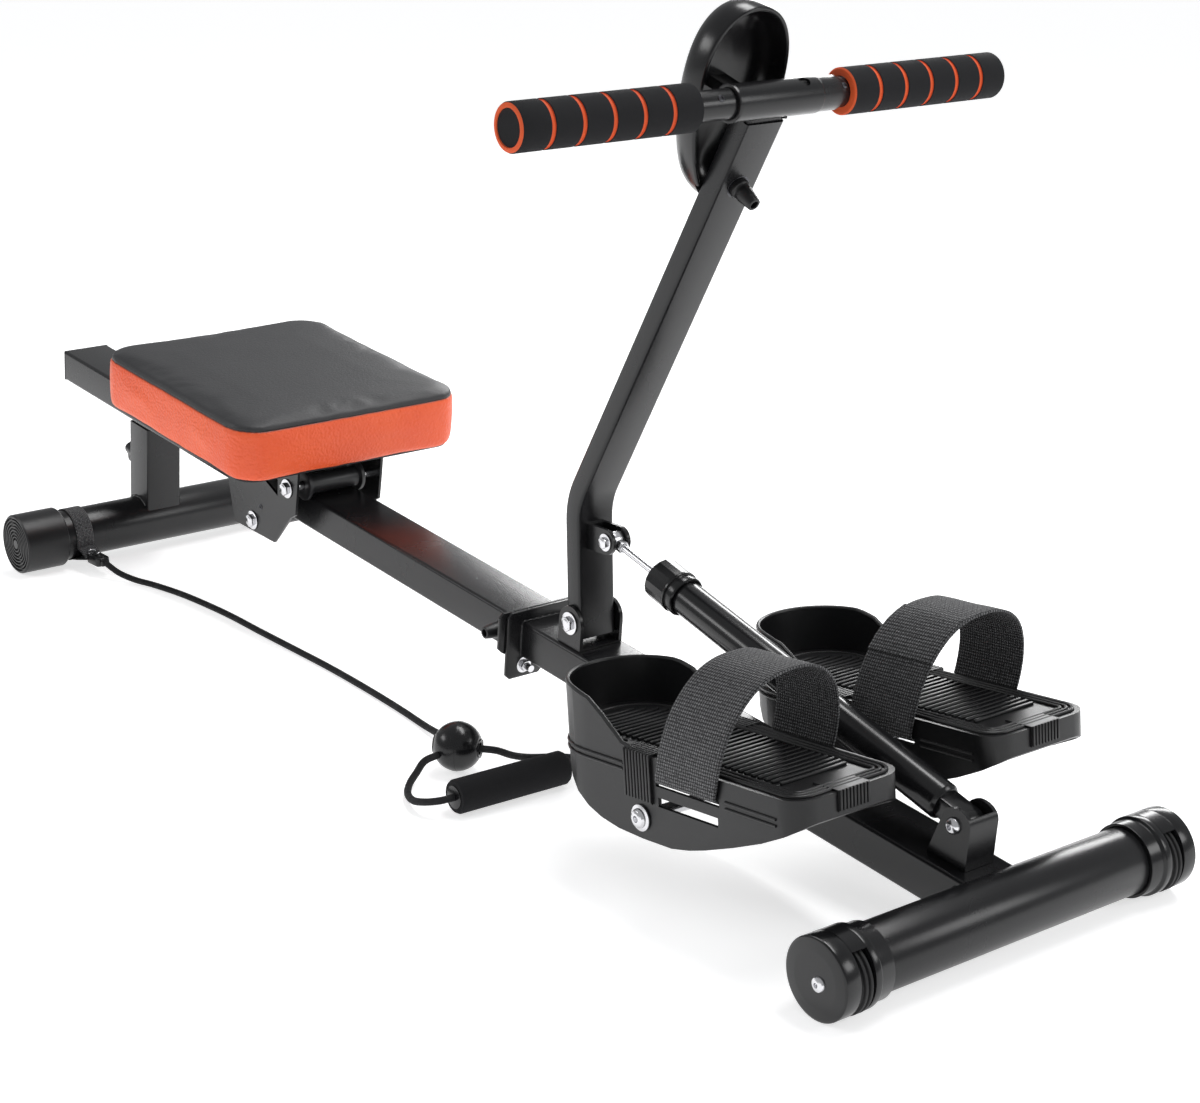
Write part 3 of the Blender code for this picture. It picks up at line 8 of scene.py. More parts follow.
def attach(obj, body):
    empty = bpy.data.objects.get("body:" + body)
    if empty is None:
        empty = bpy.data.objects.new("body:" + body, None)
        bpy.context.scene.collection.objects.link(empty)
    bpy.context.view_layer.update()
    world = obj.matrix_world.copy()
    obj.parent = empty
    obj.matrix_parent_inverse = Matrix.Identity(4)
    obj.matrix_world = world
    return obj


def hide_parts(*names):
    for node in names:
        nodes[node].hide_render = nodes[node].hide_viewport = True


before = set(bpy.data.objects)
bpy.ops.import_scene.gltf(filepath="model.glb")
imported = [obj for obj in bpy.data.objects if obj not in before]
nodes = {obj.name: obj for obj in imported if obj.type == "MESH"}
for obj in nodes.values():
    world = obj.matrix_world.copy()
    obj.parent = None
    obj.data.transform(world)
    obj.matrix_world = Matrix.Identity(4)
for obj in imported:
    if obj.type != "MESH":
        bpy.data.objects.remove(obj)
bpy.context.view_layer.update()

# ---- Floor, light and camera
# A seamless pale studio floor with broad soft boxes above it, and a long lens that looks down on
# the machine from its front right.
FLOOR_HALF = 16.0
LENS_MM, SENSOR_MM = 76.9, 36.0
CAMERA_PLACE = (1.7545, -1.2182, 0.8008)
CAMERA_TURN = (math.radians(72.47), 0.0, math.radians(51.83))


def mesh_of(name, shape):
    """A mesh made from a bmesh, which it uses up."""
    mesh = bpy.data.meshes.new(name)
    shape.to_mesh(mesh)
    shape.free()
    return mesh


def linked(name, data):
    """An object in the scene that shows some data."""
    made = bpy.data.objects.new(name, data)
    bpy.context.scene.collection.objects.link(made)
    return made


def preset(shader, values):
    """Give a shader's inputs plain values."""
    for title, value in values.items():
        shader.inputs[title].default_value = value


floor_shape = bmesh.new()
bmesh.ops.create_grid(floor_shape, x_segments=2, y_segments=2, size=FLOOR_HALF)
floor_mesh = mesh_of("studio_floor", floor_shape)
linked("studio_floor", floor_mesh)
floor_paint = bpy.data.materials.new("studio_floor")
floor_paint.use_nodes = True
preset(floor_paint.node_tree.nodes["Principled BSDF"], {
    "Base Color": (0.78, 0.78, 0.785, 1.0), "Roughness": 0.45, "Specular IOR Level": 0.25,
    "Emission Color": (1.0, 1.0, 1.0, 1.0), "Emission Strength": 0.65})
floor_mesh.materials.append(floor_paint)

studio = bpy.data.worlds.new("studio")
studio.use_nodes = True
preset(studio.node_tree.nodes["Background"], {"Color": (0.97, 0.985, 1.0, 1.0), "Strength": 0.42})
bpy.context.scene.world = studio
bpy.context.scene.view_settings.view_transform = "Standard"


def soft_box(name, place, aim, size, power):
    """An area light that points at a place."""
    light = bpy.data.lights.new(name, "AREA")
    light.shape = "RECTANGLE"
    light.size, light.size_y = size
    light.energy = power
    lamp = linked(name, light)
    lamp.location = place
    lamp.rotation_euler = (Vector(aim) - Vector(place)).to_track_quat("-Z", "Y").to_euler()


soft_box("overhead_box", (0.2, 0.7, 2.4), (0.1, 0.0, 0.2), (2.0, 0.55), 34.0)
soft_box("left_box", (-1.5, -2.1, 1.6), (-0.1, 0.0, 0.2), (1.3, 0.6), 13.0)
soft_box("back_box", (-1.4, 2.4, 1.3), (0.0, 0.0, 0.25), (1.8, 0.6), 38.0)
soft_box("front_box", (2.5, 1.5, 1.4), (0.3, 0.0, 0.2), (0.9, 0.9), 13.0)

lens = bpy.data.cameras.new("camera")
lens.lens = LENS_MM
lens.sensor_width = SENSOR_MM
camera = linked("camera", lens)
camera.location = CAMERA_PLACE
camera.rotation_euler = CAMERA_TURN
bpy.context.scene.camera = camera


# ---- Pull rope
# A braided polyester cord, 6 mm thick, that runs along the floor from the buckle on the rear tube to
# a round bead, where it parts into the two ends of the handle's loop.
def effect(name, puts_in, puts_out):
    """An empty node group with named inputs and outputs."""
    group = bpy.data.node_groups.new(name, "ShaderNodeTree")
    for title, kind in puts_in:
        group.interface.new_socket(title, in_out="INPUT", socket_type=kind)
    for title in puts_out:
        group.interface.new_socket(title, in_out="OUTPUT", socket_type="NodeSocketFloat")
    return group, group.nodes.new("NodeGroupInput").outputs, group.nodes.new("NodeGroupOutput").inputs


def node(tree, kind, inputs, **settings):
    """The outputs of a new shader node; each input is given a plain value or a link."""
    made = tree.nodes.new("ShaderNode" + kind)
    for title, value in settings.items():
        setattr(made, title, value)
    for key, value in inputs.items():
        if isinstance(value, bpy.types.NodeSocket):
            tree.links.new(value, made.inputs[key])
        else:
            made.inputs[key].default_value = value
    return made.outputs


def calc(tree, operation, *values):
    """A Math node's result on sockets or numbers."""
    return node(tree, "Math", dict(enumerate(values)), operation=operation)[0]


# crossing yarns, from a position counted in yarns, as the height of the yarn on top
weave, weave_in, weave_out = effect("woven_yarns", [("Yarns", "NodeSocketVector")], ["Height"])
yarns = node(weave, "SeparateXYZ", {0: weave_in["Yarns"]})
checks = calc(weave, "MODULO", calc(weave, "ABSOLUTE", calc(
    weave, "ADD", calc(weave, "FLOOR", yarns[0]), calc(weave, "FLOOR", yarns[1]))), 2.0)
warp, weft = (calc(weave, "ABSOLUTE", calc(weave, "SINE", calc(weave, "MULTIPLY", way, math.pi)))
              for way in (yarns[0], yarns[1]))
over = calc(weave, "MULTIPLY", warp, calc(weave, "MULTIPLY_ADD", weft, 0.5, 0.5))
under = calc(weave, "MULTIPLY", weft, calc(weave, "MULTIPLY_ADD", warp, 0.5, 0.5))
weave.links.new(calc(weave, "ADD", calc(weave, "MULTIPLY", over, checks), calc(
    weave, "MULTIPLY", under, calc(weave, "SUBTRACT", 1.0, checks))), weave_out["Height"])


def finish(name, colour, roughness, metallic=0.0, specular=0.5):
    """A material with its Principled shader set to plain values."""
    made = bpy.data.materials.new(name)
    made.use_nodes = True
    shader = made.node_tree.nodes["Principled BSDF"]
    preset(shader, {"Base Color": (*colour, 1.0), "Roughness": roughness, "Metallic": metallic,
                    "Specular IOR Level": specular})
    return made, made.node_tree, shader


def place_of(tree, kind="Object", scale=(1.0, 1.0, 1.0)):
    """The texture position, stretched by a Mapping node."""
    return node(tree, "Mapping", {"Vector": node(tree, "TexCoord", {})[kind], "Scale": scale})["Vector"]


def cloudy(tree, where, scale, detail=2.0):
    """Noise from 0 to 1 at a scale per metre."""
    return node(tree, "TexNoise", {"Vector": where, "Scale": scale, "Detail": detail})["Fac"]


def between(tree, factor, low, high, socket):
    """Drive a shader socket from low to high by a factor from 0 to 1."""
    spread = node(tree, "MapRange", {"Value": factor, "To Min": low, "To Max": high})
    tree.links.new(spread["Result"], socket)


def mixed(tree, factor, first, second):
    """A mix, by a factor, of two colours that are plain or come from sockets."""
    first, second = ((*colour, 1.0) if isinstance(colour, tuple) else colour for colour in (first, second))
    return node(tree, "Mix", {"Factor": factor, 6: first, 7: second}, data_type="RGBA")[2]


def tinted(tree, shader, factor, first, second):
    """Colour a shader from one colour to another by a factor."""
    tree.links.new(mixed(tree, factor, first, second), shader.inputs["Base Color"])


def raised(tree, shader, height_of, strength, distance):
    """Bump the shader's normal by a height."""
    bump = node(tree, "Bump", {"Height": height_of, "Strength": strength, "Distance": distance})
    tree.links.new(bump["Normal"], shader.inputs["Normal"])


def woven(tree, position):
    """The height of crossing yarns at a position counted in yarns."""
    return node(tree, "Group", {"Yarns": position}, node_tree=weave)["Height"]


def braid(name, length):
    """Black polyester braid for a rope of a given length, on the rope's own UV map, with painted shade in the
    gaps between its yarns and painted light on their crests.
    """
    made, tree, shader = finish(name, (0.016, 0.016, 0.018), 0.72, specular=0.35)
    round_it = node(tree, "SeparateXYZ", {0: place_of(tree, "UV", (10.0, length / 0.0042, 1.0))})
    slanted = node(tree, "CombineXYZ", {0: calc(tree, "ADD", round_it[0], round_it[1]),
                                        1: calc(tree, "SUBTRACT", round_it[0], round_it[1])})
    yarn = woven(tree, slanted[0])
    # painted shade and light: the gaps between yarns are tinted darker and the yarn crests lighter
    tinted(tree, shader, yarn, (0.004, 0.004, 0.005), (0.030, 0.030, 0.033))
    between(tree, cloudy(tree, place_of(tree), 300.0), 0.60, 0.85, shader.inputs["Roughness"])
    raised(tree, shader, yarn, 0.9, 0.0006)
    return made


REAR_TUBE = Vector((-0.546, 0.0, 0.030))
ROPE_RADIUS = 0.003
ROPE_EXIT = Vector((-0.4815, -0.0940, 0.0145))
BEAD = REAR_TUBE * Vector((1, 0, 0)) + Vector((0.702, -0.109, 0.0212))
BEAD_RADIUS = 0.0205
HANDLE_ENDS = (Vector((0.2315, -0.0590, 0.0145)), Vector((0.2284, -0.1630, 0.0145)))
handle_way = (HANDLE_ENDS[0] - HANDLE_ENDS[1]).normalized()
MAIN_ROUTE = [(0.070, -0.0940, 0.0143), (0.087, -0.0900, 0.0085), (0.105, -0.0815, 0.0040),
              (0.131, -0.0735, 0.0034), (0.179, -0.0655, 0.0032), (0.249, -0.0620, 0.0032),
              (0.313, -0.0632, 0.0032), (0.379, -0.0640, 0.0032), (0.438, -0.0650, 0.0032),
              (0.504, -0.0685, 0.0032), (0.565, -0.0735, 0.0032), (0.609, -0.0790, 0.0036),
              (0.639, -0.0845, 0.0066), (0.661, -0.0920, 0.0140)]
FAR_ROUTE = [(0.7270, -0.0880, 0.0200), (0.7290, -0.0740, 0.0130), (0.7300, -0.0580, 0.0075),
             (0.7370, -0.0420, 0.0060), (0.7520, -0.0340, 0.0085), (0.7670, -0.0370, 0.0122),
             (0.7755, -0.0465, 0.0142)]
NEAR_ROUTE = [(0.7025, -0.1420, 0.0165), (0.7050, -0.1520, 0.0095), (0.7130, -0.1640, 0.0060),
              (0.7280, -0.1760, 0.0055), (0.7460, -0.1830, 0.0075), (0.7620, -0.1830, 0.0115),
              (0.7720, -0.1760, 0.0140)]


def on_floor(point):
    """A route point, given from under the rear tube, in the machine's frame."""
    return Vector((REAR_TUBE.x + point[0], point[1], point[2]))


def bead_face(toward):
    """Where a rope leaves the bead on its way to a route point."""
    return BEAD + (on_floor(toward) - BEAD).normalized() * (BEAD_RADIUS - 0.002)


def smooth_line(points, per_span=6):
    """Points along a smooth curve through the route's points."""
    ends = [points[0] * 2 - points[1]] + points + [points[-1] * 2 - points[-2]]
    line = []
    for before, first, second, after in zip(ends, ends[1:], ends[2:], ends[3:]):
        for step in range(per_span):
            t = step / per_span
            line.append(0.5 * (2 * first + (second - before) * t
                               + (2 * before - 5 * first + 4 * second - after) * t * t
                               + (3 * first - before - 3 * second + after) * t ** 3))
    return line + [points[-1]]


def evaluated(made):
    """An object's mesh with its modifiers applied."""
    bpy.context.view_layer.update()
    return bpy.data.meshes.new_from_object(made.evaluated_get(bpy.context.evaluated_depsgraph_get()))


def swept(name, line, radius, sides, swell=(1.0,)):
    """A mesh tube along a line, with round sides and closed ends."""
    curve = bpy.data.curves.new(name, "CURVE")
    curve.dimensions = "3D"
    curve.bevel_depth = radius
    curve.bevel_resolution = sides
    curve.use_fill_caps = True
    spline = curve.splines.new("POLY")
    spline.points.add(len(line) - 1)
    for index, (point, spot) in enumerate(zip(spline.points, line)):
        point.co = (*spot, 1.0)
        point.radius = swell[index % len(swell)]
    maker = linked(name, curve)
    mesh = evaluated(maker)
    bpy.data.objects.remove(maker)
    mesh.shade_smooth()
    return mesh


def shown(name, mesh, made_of, body, stands_for=()):
    """A mesh as a piece that moves with a body and may stand for CAD nodes."""
    if mesh.materials:
        mesh.materials.clear()
    for paint in made_of if isinstance(made_of, list) else [made_of]:
        mesh.materials.append(paint)
    made = linked(name, mesh)
    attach(made, body)
    if stands_for:
        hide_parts(*stands_for)
    return made


def rope_piece(name, points, node_name, exit_at):
    """A length of the braided rope from its exit to its end."""
    line = smooth_line(points)
    length = sum((b - a).length for a, b in zip(line, line[1:]))
    made = shown(name, swept(name, line, ROPE_RADIUS, 5), braid(name + "_braid", length), "rear_foot",
                 [node_name])
    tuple(exit_at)


HANDLE_GAP = handle_way * 0.001
main_points = [ROPE_EXIT] + [on_floor(p) for p in MAIN_ROUTE] + [bead_face(MAIN_ROUTE[-1])]
far_points = [bead_face(FAR_ROUTE[0])] + [on_floor(p) for p in FAR_ROUTE] + [HANDLE_ENDS[0] + HANDLE_GAP]
near_points = [bead_face(NEAR_ROUTE[0])] + [on_floor(p) for p in NEAR_ROUTE] + [HANDLE_ENDS[1] - HANDLE_GAP]


# ---- Turned and plated shapes, bead and handle
# The bead is a glossy moulded ball with ringed rope holes.  The handle is a foam sleeve over a
# plastic core with a collar at each end.
def facing(centre, way):
    """A frame at a centre whose own Z points along a direction."""
    turn = Vector((0, 0, 1)).rotation_difference(Vector(way)).to_matrix().to_4x4()
    return Matrix.Translation(centre) @ turn


def eased(profile, reach=0.0006):
    """A closed (radius, height) profile with its corners off the axis cut back."""
    points = []
    for index, here in enumerate(profile):
        before, after = Vector(profile[index - 1]), Vector(profile[(index + 1) % len(profile)])
        here = Vector(here)
        if here.x < 1e-6 or min((before - here).length, (after - here).length) < 2.2 * reach:
            points.append(here)
            continue
        first = here + (before - here).normalized() * reach
        second = here + (after - here).normalized() * reach
        points += [first, (first + second) / 4 + here / 2, second]
    return points


def spun(profile, place, steps=64):
    """A closed (radius, height) profile turned about a frame's own Z."""
    shape = bmesh.new()
    ring = [shape.verts.new((point[0], 0.0, point[1])) for point in profile]
    edges = [shape.edges.new(pair) for pair in zip(ring, ring[1:] + ring[:1])]
    bmesh.ops.spin(shape, geom=ring + edges, axis=(0, 0, 1), cent=(0, 0, 0), angle=math.tau,
                   steps=steps, use_merge=True)
    bmesh.ops.remove_doubles(shape, verts=shape.verts, dist=2e-6)
    bmesh.ops.delete(shape, geom=[edge for edge in shape.edges if not edge.link_faces], context="EDGES")
    shape.transform(place)
    return shape


def rect(inner, outer, low, high):
    """A closed (radius, height) profile with four corners."""
    return [(inner, low), (outer, low), (outer, high), (inner, high)]


def arc(radius, start, turn, count):
    """Points on a circle, from a start and a turn for each step in degrees."""
    return [(radius * math.cos(angle), radius * math.sin(angle))
            for angle in (math.radians(start + turn * step) for step in range(count))]


def piece(name, shapes, made_of, body, stands_for=(), smooth=33.0):
    """One or several bmeshes as one piece, with sharp edges kept past an angle."""
    whole = bmesh.new()
    for shape in shapes if isinstance(shapes, list) else [shapes]:
        bmesh.ops.recalc_face_normals(shape, faces=shape.faces)
        part = mesh_of(name, shape)
        whole.from_mesh(part)
        bpy.data.meshes.remove(part)
    mesh = mesh_of(name, whole)
    mesh.shade_smooth()
    mesh.set_sharp_from_angle(angle=math.radians(smooth))
    return shown(name, mesh, made_of, body, stands_for)


# fine moulding texture, and the faint smears that handling leaves in a surface's shine
moulded, moulded_in, moulded_out = effect(
    "moulded_grain", [("Position", "NodeSocketVector"), ("Grain", "NodeSocketFloat")], ["Height", "Smear"])
moulded.links.new(cloudy(moulded, moulded_in["Position"], moulded_in["Grain"], 3.0), moulded_out["Height"])
moulded.links.new(cloudy(moulded, moulded_in["Position"], 16.0, 4.0), moulded_out["Smear"])


def grained(name, colour, lighter, low, high, grain_scale, bump, depth, metallic=0.0, specular=0.5):
    """A finish with fine grain, drifting roughness and a faint change of shade."""
    made, tree, shader = finish(name, colour, low, metallic, specular)
    grain = node(tree, "Group", {"Position": place_of(tree), "Grain": grain_scale}, node_tree=moulded)
    between(tree, grain["Smear"], low, high, shader.inputs["Roughness"])
    tinted(tree, shader, grain["Smear"], colour, lighter)
    raised(tree, shader, grain["Height"], bump, depth)
    return made


GLOSS_PLASTIC = grained("gloss_plastic", (0.004, 0.004, 0.0045), (0.008, 0.008, 0.009), 0.16, 0.28, 900.0,
                        0.10, 0.0002, specular=0.42)
MATT_PLASTIC = grained("moulded_plastic", (0.005, 0.005, 0.0055), (0.010, 0.010, 0.011), 0.30, 0.44, 2600.0,
                       0.30, 0.0002, specular=0.42)
FOAM = grained("black_foam", (0.010, 0.010, 0.011), (0.018, 0.018, 0.020), 0.80, 0.95, 2400.0, 0.75, 0.0006,
               specular=0.22)

bead_way = on_floor(FAR_ROUTE[0]) - BEAD
ball = [(0.0, -0.0150), (0.0048, -0.0150), (0.0052, -0.0188), (0.0078, -0.0196), (0.0082, -0.0184),
        (0.0098, -0.0180)]
ball += arc(BEAD_RADIUS, -60, 10, 13)
ball += [(radius, -height) for radius, height in reversed(ball[:6])]
bead_ring = spun(eased(rect(0.0196, 0.0206, -0.0022, 0.0022), 0.0004), facing(BEAD, bead_way))
piece("bead_ball", [spun(ball, facing(BEAD, bead_way), 72), bead_ring], GLOSS_PLASTIC, "rear_foot",
      ["rope_bead"], 50.0)

handle_place = facing((HANDLE_ENDS[0] + HANDLE_ENDS[1]) / 2, handle_way)
reach = (HANDLE_ENDS[0] - HANDLE_ENDS[1]).length / 2
sleeve = eased([(0.0, -reach), (0.0128, -reach), (0.0140, -reach + 0.002), (0.0140, reach - 0.002),
                (0.0128, reach), (0.0, reach)], 0.0012)
collars = [spun(eased(rect(0.0, 0.0095, side * reach, side * (reach + 0.0009)), 0.0003), handle_place)
           for side in (-1, 1)]
piece("handle_foam", spun(sleeve, handle_place, 56), FOAM, "rear_foot", ["rope_handle"])
piece("handle_collars", collars, GLOSS_PLASTIC, "rear_foot")

rope_piece("pull_rope", main_points, "rope_main", ROPE_EXIT)
rope_piece("handle_rope_far", far_points, "rope_branch_far", far_points[0])
rope_piece("handle_rope_near", near_points, "rope_branch_near", near_points[0])


# ---- Front foot
# A 50 mm steel cross tube in satin black powder coat.  Each end carries a moulded cap that stands on
# the floor and holds a transport wheel in an open pocket, on one screw.
POWDER_COAT = grained("black_paint", (0.006, 0.006, 0.0068), (0.011, 0.011, 0.012), 0.21, 0.32, 1300.0, 0.18,
                      0.0003, specular=0.40)
RUBBER = grained("soft_black", (0.008, 0.008, 0.0085), (0.015, 0.015, 0.016), 0.50, 0.70, 1800.0, 0.4, 0.0003,
                 specular=0.35)
BRIGHT_STEEL = grained("bright_steel", (0.62, 0.62, 0.64), (0.78, 0.78, 0.80), 0.12, 0.28, 1500.0, 0.05,
                       0.0001, 1.0)
DARK_STEEL = grained("dark_screw", (0.05, 0.05, 0.055), (0.10, 0.10, 0.11), 0.28, 0.45, 1500.0, 0.1,
                     0.0001, 1.0)
FRONT_TUBE = Vector((0.653, 0.0, 0.030))
TUBE_RADIUS = 0.025
CAP_RADIUS = 0.030
FRONT_HALF = 0.1737
WALL_RADIUS = 0.0235
ACROSS = Vector((0, 1, 0))
SIDES = (("right", -1), ("left", 1))


def slab(outline, low, high, across="Y"):
    """An outline pushed along an axis: (x, z) points along Y, (x, y) along Z, (y, z) along X."""
    placed = {"X": lambda a, b, d: (d, a, b), "Y": lambda a, b, d: (a, d, b), "Z": lambda a, b, d: (a, b, d)}
    shape = bmesh.new()
    face = shape.faces.new([shape.verts.new(placed[across](a, b, low)) for a, b in outline])
    pushed = bmesh.ops.extrude_face_region(shape, geom=[face])["geom"]
    moved = [item for item in pushed if isinstance(item, bmesh.types.BMVert)]
    bmesh.ops.translate(shape, vec=Vector(placed[across](0.0, 0.0, high - low)), verts=moved)
    bmesh.ops.recalc_face_normals(shape, faces=shape.faces)
    return shape


def softened(shape, width, segments=2, above=30.0):
    """Round a shape's sharp edges."""
    sharp = [edge for edge in shape.edges
             if len(edge.link_faces) == 2 and edge.calc_face_angle() > math.radians(above)]
    bmesh.ops.bevel(shape, geom=sharp, offset=width, offset_type="OFFSET", affect="EDGES",
                    segments=segments, profile=0.5, material=-1, clamp_overlap=True)
    return shape


def block(low, high, width=0.0006, place=Matrix.Identity(4)):
    """A block between two corners with rounded edges, in a frame."""
    low, high = Vector(low), Vector(high)
    shape = bmesh.new()
    bmesh.ops.create_cube(shape, size=1.0)
    bmesh.ops.scale(shape, vec=high - low, verts=shape.verts)
    bmesh.ops.translate(shape, vec=(low + high) / 2, verts=shape.verts)
    softened(shape, width)
    shape.transform(place)
    return shape


def tube_profile(half, outside, inside):
    """A cross tube's closed profile about the middle of its length."""
    return eased(rect(inside, outside, -half, half), 0.0005)


piece("front_tube", spun(tube_profile(0.1417, TUBE_RADIUS, WALL_RADIUS), facing(FRONT_TUBE, ACROSS), 96),
      POWDER_COAT, "front_frame", ["front_stabilizer"])

WHEEL_SHIFT = Vector((0.004, 0.0, -0.0015))
POCKET_RADIUS, POCKET_WALL = 0.0285, 0.0273
pocket_start = FRONT_HALF - 0.032 + 0.0053
pocket_end = pocket_start + 0.013
mouth = FRONT_HALF - 0.046
rims = [Vector((CAP_RADIUS * math.cos(angle), CAP_RADIUS * math.sin(angle)))
        for angle in (math.tau * step / 72 for step in range(72))]
crescent = [rim for rim in rims if (rim - WHEEL_SHIFT.xz).length > POCKET_RADIUS]
start_gap = max(range(len(crescent)), key=lambda i: (crescent[i] - crescent[i - 1]).length)
crescent = crescent[start_gap:] + crescent[:start_gap]
inner_arc = [WHEEL_SHIFT.xz + (rim - WHEEL_SHIFT.xz).normalized() * POCKET_WALL for rim in reversed(crescent)]
crescent = [tuple(point) for point in crescent + inner_arc]
for word, side in SIDES:
    hub_place, wheel_place = facing(FRONT_TUBE, (0, side, 0)), facing(FRONT_TUBE + WHEEL_SHIFT, (0, side, 0))
    disc = eased([(0.0, pocket_end), (CAP_RADIUS, pocket_end), (CAP_RADIUS, FRONT_HALF - 0.0012),
                  (CAP_RADIUS - 0.0018, FRONT_HALF - 0.0004), (0.020, FRONT_HALF + 0.0004),
                  (0.0, FRONT_HALF + 0.0006)], 0.0007)
    collar = eased([(0.0, pocket_start), (0.0, pocket_start - 0.003), (0.0251, pocket_start - 0.003),
                    (0.0251, mouth), (0.0278, mouth), (0.0278, mouth + 0.012), (CAP_RADIUS, mouth + 0.0135),
                    (CAP_RADIUS, pocket_start)], 0.0006)
    pocket = slab(crescent, *sorted((side * pocket_start, side * pocket_end)))
    pocket.transform(Matrix.Translation(FRONT_TUBE))
    piece("wheel_cap_" + word, [spun(disc, hub_place, 96), spun(collar, hub_place, 96), pocket],
          GLOSS_PLASTIC, "front_frame", ["front_cap_" + word])
    # the wheel's tread has a proud band between two shoulders
    middle = (pocket_start + pocket_end) / 2
    tread = eased([(0.0033, middle - 0.0057), (0.0238, middle - 0.0057), (0.0246, middle - 0.0038),
                   (0.0267, middle - 0.0034), (0.0267, middle - 0.0012), (0.0249, middle - 0.0007),
                   (0.0249, middle + 0.0007), (0.0267, middle + 0.0012), (0.0267, middle + 0.0034),
                   (0.0246, middle + 0.0038), (0.0238, middle + 0.0057), (0.0033, middle + 0.0057)], 0.0003)
    piece("ridged_wheel_" + word, spun(tread, wheel_place, 72), RUBBER, "transport_wheel_" + word,
          ["transport_wheel_" + word])
    screw = [(0.0, FRONT_HALF), (0.0058, FRONT_HALF), (0.0058, FRONT_HALF + 0.0009),
             (0.0050, FRONT_HALF + 0.0023), (0.0032, FRONT_HALF + 0.0032), (0.0019, FRONT_HALF + 0.0034),
             (0.0017, FRONT_HALF + 0.0018), (0.0, FRONT_HALF + 0.0018)]
    shank = rect(0.0, 0.003, pocket_start - 0.002, FRONT_HALF)
    piece("wheel_axle_screw_" + word, [spun(screw, wheel_place, 32), spun(shank, wheel_place, 24)],
          BRIGHT_STEEL, "front_frame", ["wheel_screw_" + word])


# ---- Rails and folding joint
# Two lengths of box section steel climb to the rear.  They meet at two thin plates with a hinge on
# the left, and a spring pin with a tapered knob locks them.
PITCH = math.atan(0.101)
RAIL = Matrix.Translation((0.653, 0.0, 0.0511)) @ Matrix.Rotation(PITCH, 4, "Y")
RAIL_HALF = 0.0255
RAIL_HEIGHT = 0.032
FOLD = -0.526
RAIL_REAR = -1.33827


def round_box(length, width, radius, centre=(0.0, 0.0), steps=5):
    """A rectangle's outline with round corners."""
    points = []
    for corner, (sx, sy) in enumerate(((1, 1), (-1, 1), (-1, -1), (1, -1))):
        for step in range(steps + 1):
            angle = (corner + step / steps) * math.pi / 2
            points.append((centre[0] + sx * (length / 2 - radius) + radius * math.cos(angle),
                           centre[1] + sy * (width / 2 - radius) + radius * math.sin(angle)))
    return points


def in_frame(shape, place):
    """A shape moved into a frame."""
    shape.transform(place)
    return shape


def bar_along_rail(rear, front):
    """A length of the rail's box section between two stations."""
    section = round_box(2 * RAIL_HALF, RAIL_HEIGHT, 0.0032, (0.0, -RAIL_HEIGHT / 2), 6)
    return in_frame(slab(section, rear, front, "X"), RAIL)


def cad_look(name, made_of):
    """Give a CAD node its finish and smooth its curved faces."""
    mesh = nodes[name].data
    mesh.materials.clear()
    mesh.materials.append(made_of)
    mesh.shade_smooth()
    nodes[name].modifiers.new("Weld", "WELD").merge_threshold = 0.00002
    split = nodes[name].modifiers.new("Edge Split", "EDGE_SPLIT")
    split.split_angle = math.radians(33.0)
    split.use_edge_sharp = False


FRONT_PLATE = (FOLD + 0.0003, FOLD + 0.0033)
REAR_PLATE = (FOLD - 0.0033, FOLD - 0.0003)
front_outline = [(0.0275, 0.010), (-0.036, 0.010), (-0.040, 0.006), (-0.040, -0.046), (-0.036, -0.050),
                 (-0.006, -0.050), (-0.002, -0.046), (0.004, -0.036), (0.008, -0.035), (0.0275, -0.035)]
rear_outline = [(0.0275, 0.010), (-0.042, 0.010), (-0.046, 0.006), (-0.046, -0.022), (-0.042, -0.026),
                (-0.026, -0.035), (0.0275, -0.035)]
front_plate, rear_plate = (in_frame(softened(slab(outline, *plate, "X"), 0.0007), RAIL) for outline, plate in
                           ((front_outline, FRONT_PLATE), (rear_outline, REAR_PLATE)))
HINGE = Vector((0.12806, 0.0345, 0.0))


def knuckles(pairs, plate, tab_gap):
    """Rolled hinge knuckles with the short tabs that hold them to a plate."""
    made = []
    for low, high in pairs:
        made.append(spun(eased(rect(0.0034, 0.0060, low, high), 0.0005), Matrix.Translation(HINGE), 40))
        middle = RAIL.inverted() @ Vector((HINGE.x, HINGE.y, (low + high) / 2))
        half = (high - low) / 2 - tab_gap
        made.append(block((plate[0], 0.0240, middle.z - half), (plate[1], 0.0310, middle.z + half), 0.0005,
                          RAIL))
    return made


piece("front_rail_tube", [bar_along_rail(FRONT_PLATE[1] - 0.0005, -0.010), front_plate]
      + knuckles([(0.0743, 0.0947)], FRONT_PLATE, 0.004), POWDER_COAT, "front_frame", ["front_rail"], 30.0)

POST_STATION = -1.19081
STUB_HALF = 0.0169
inner_post = block((POST_STATION - STUB_HALF, -STUB_HALF, -0.110),
                   (POST_STATION + STUB_HALF, STUB_HALF, -0.031), 0.0008, RAIL)
piece("rear_rail_tube", [bar_along_rail(RAIL_REAR, REAR_PLATE[0] + 0.0005), rear_plate, inner_post]
      + knuckles([(0.058, 0.0737), (0.0953, 0.112)], REAR_PLATE, 0.002), POWDER_COAT, "rear_frame",
      ["rear_rail"], 30.0)
piece("rail_plug", block((RAIL_REAR - 0.0033, -RAIL_HALF, -RAIL_HEIGHT), (RAIL_REAR - 0.0003, RAIL_HALF, 0.0),
                         0.0014, RAIL), MATT_PLASTIC, "rear_frame", ["rail_end_cap"])

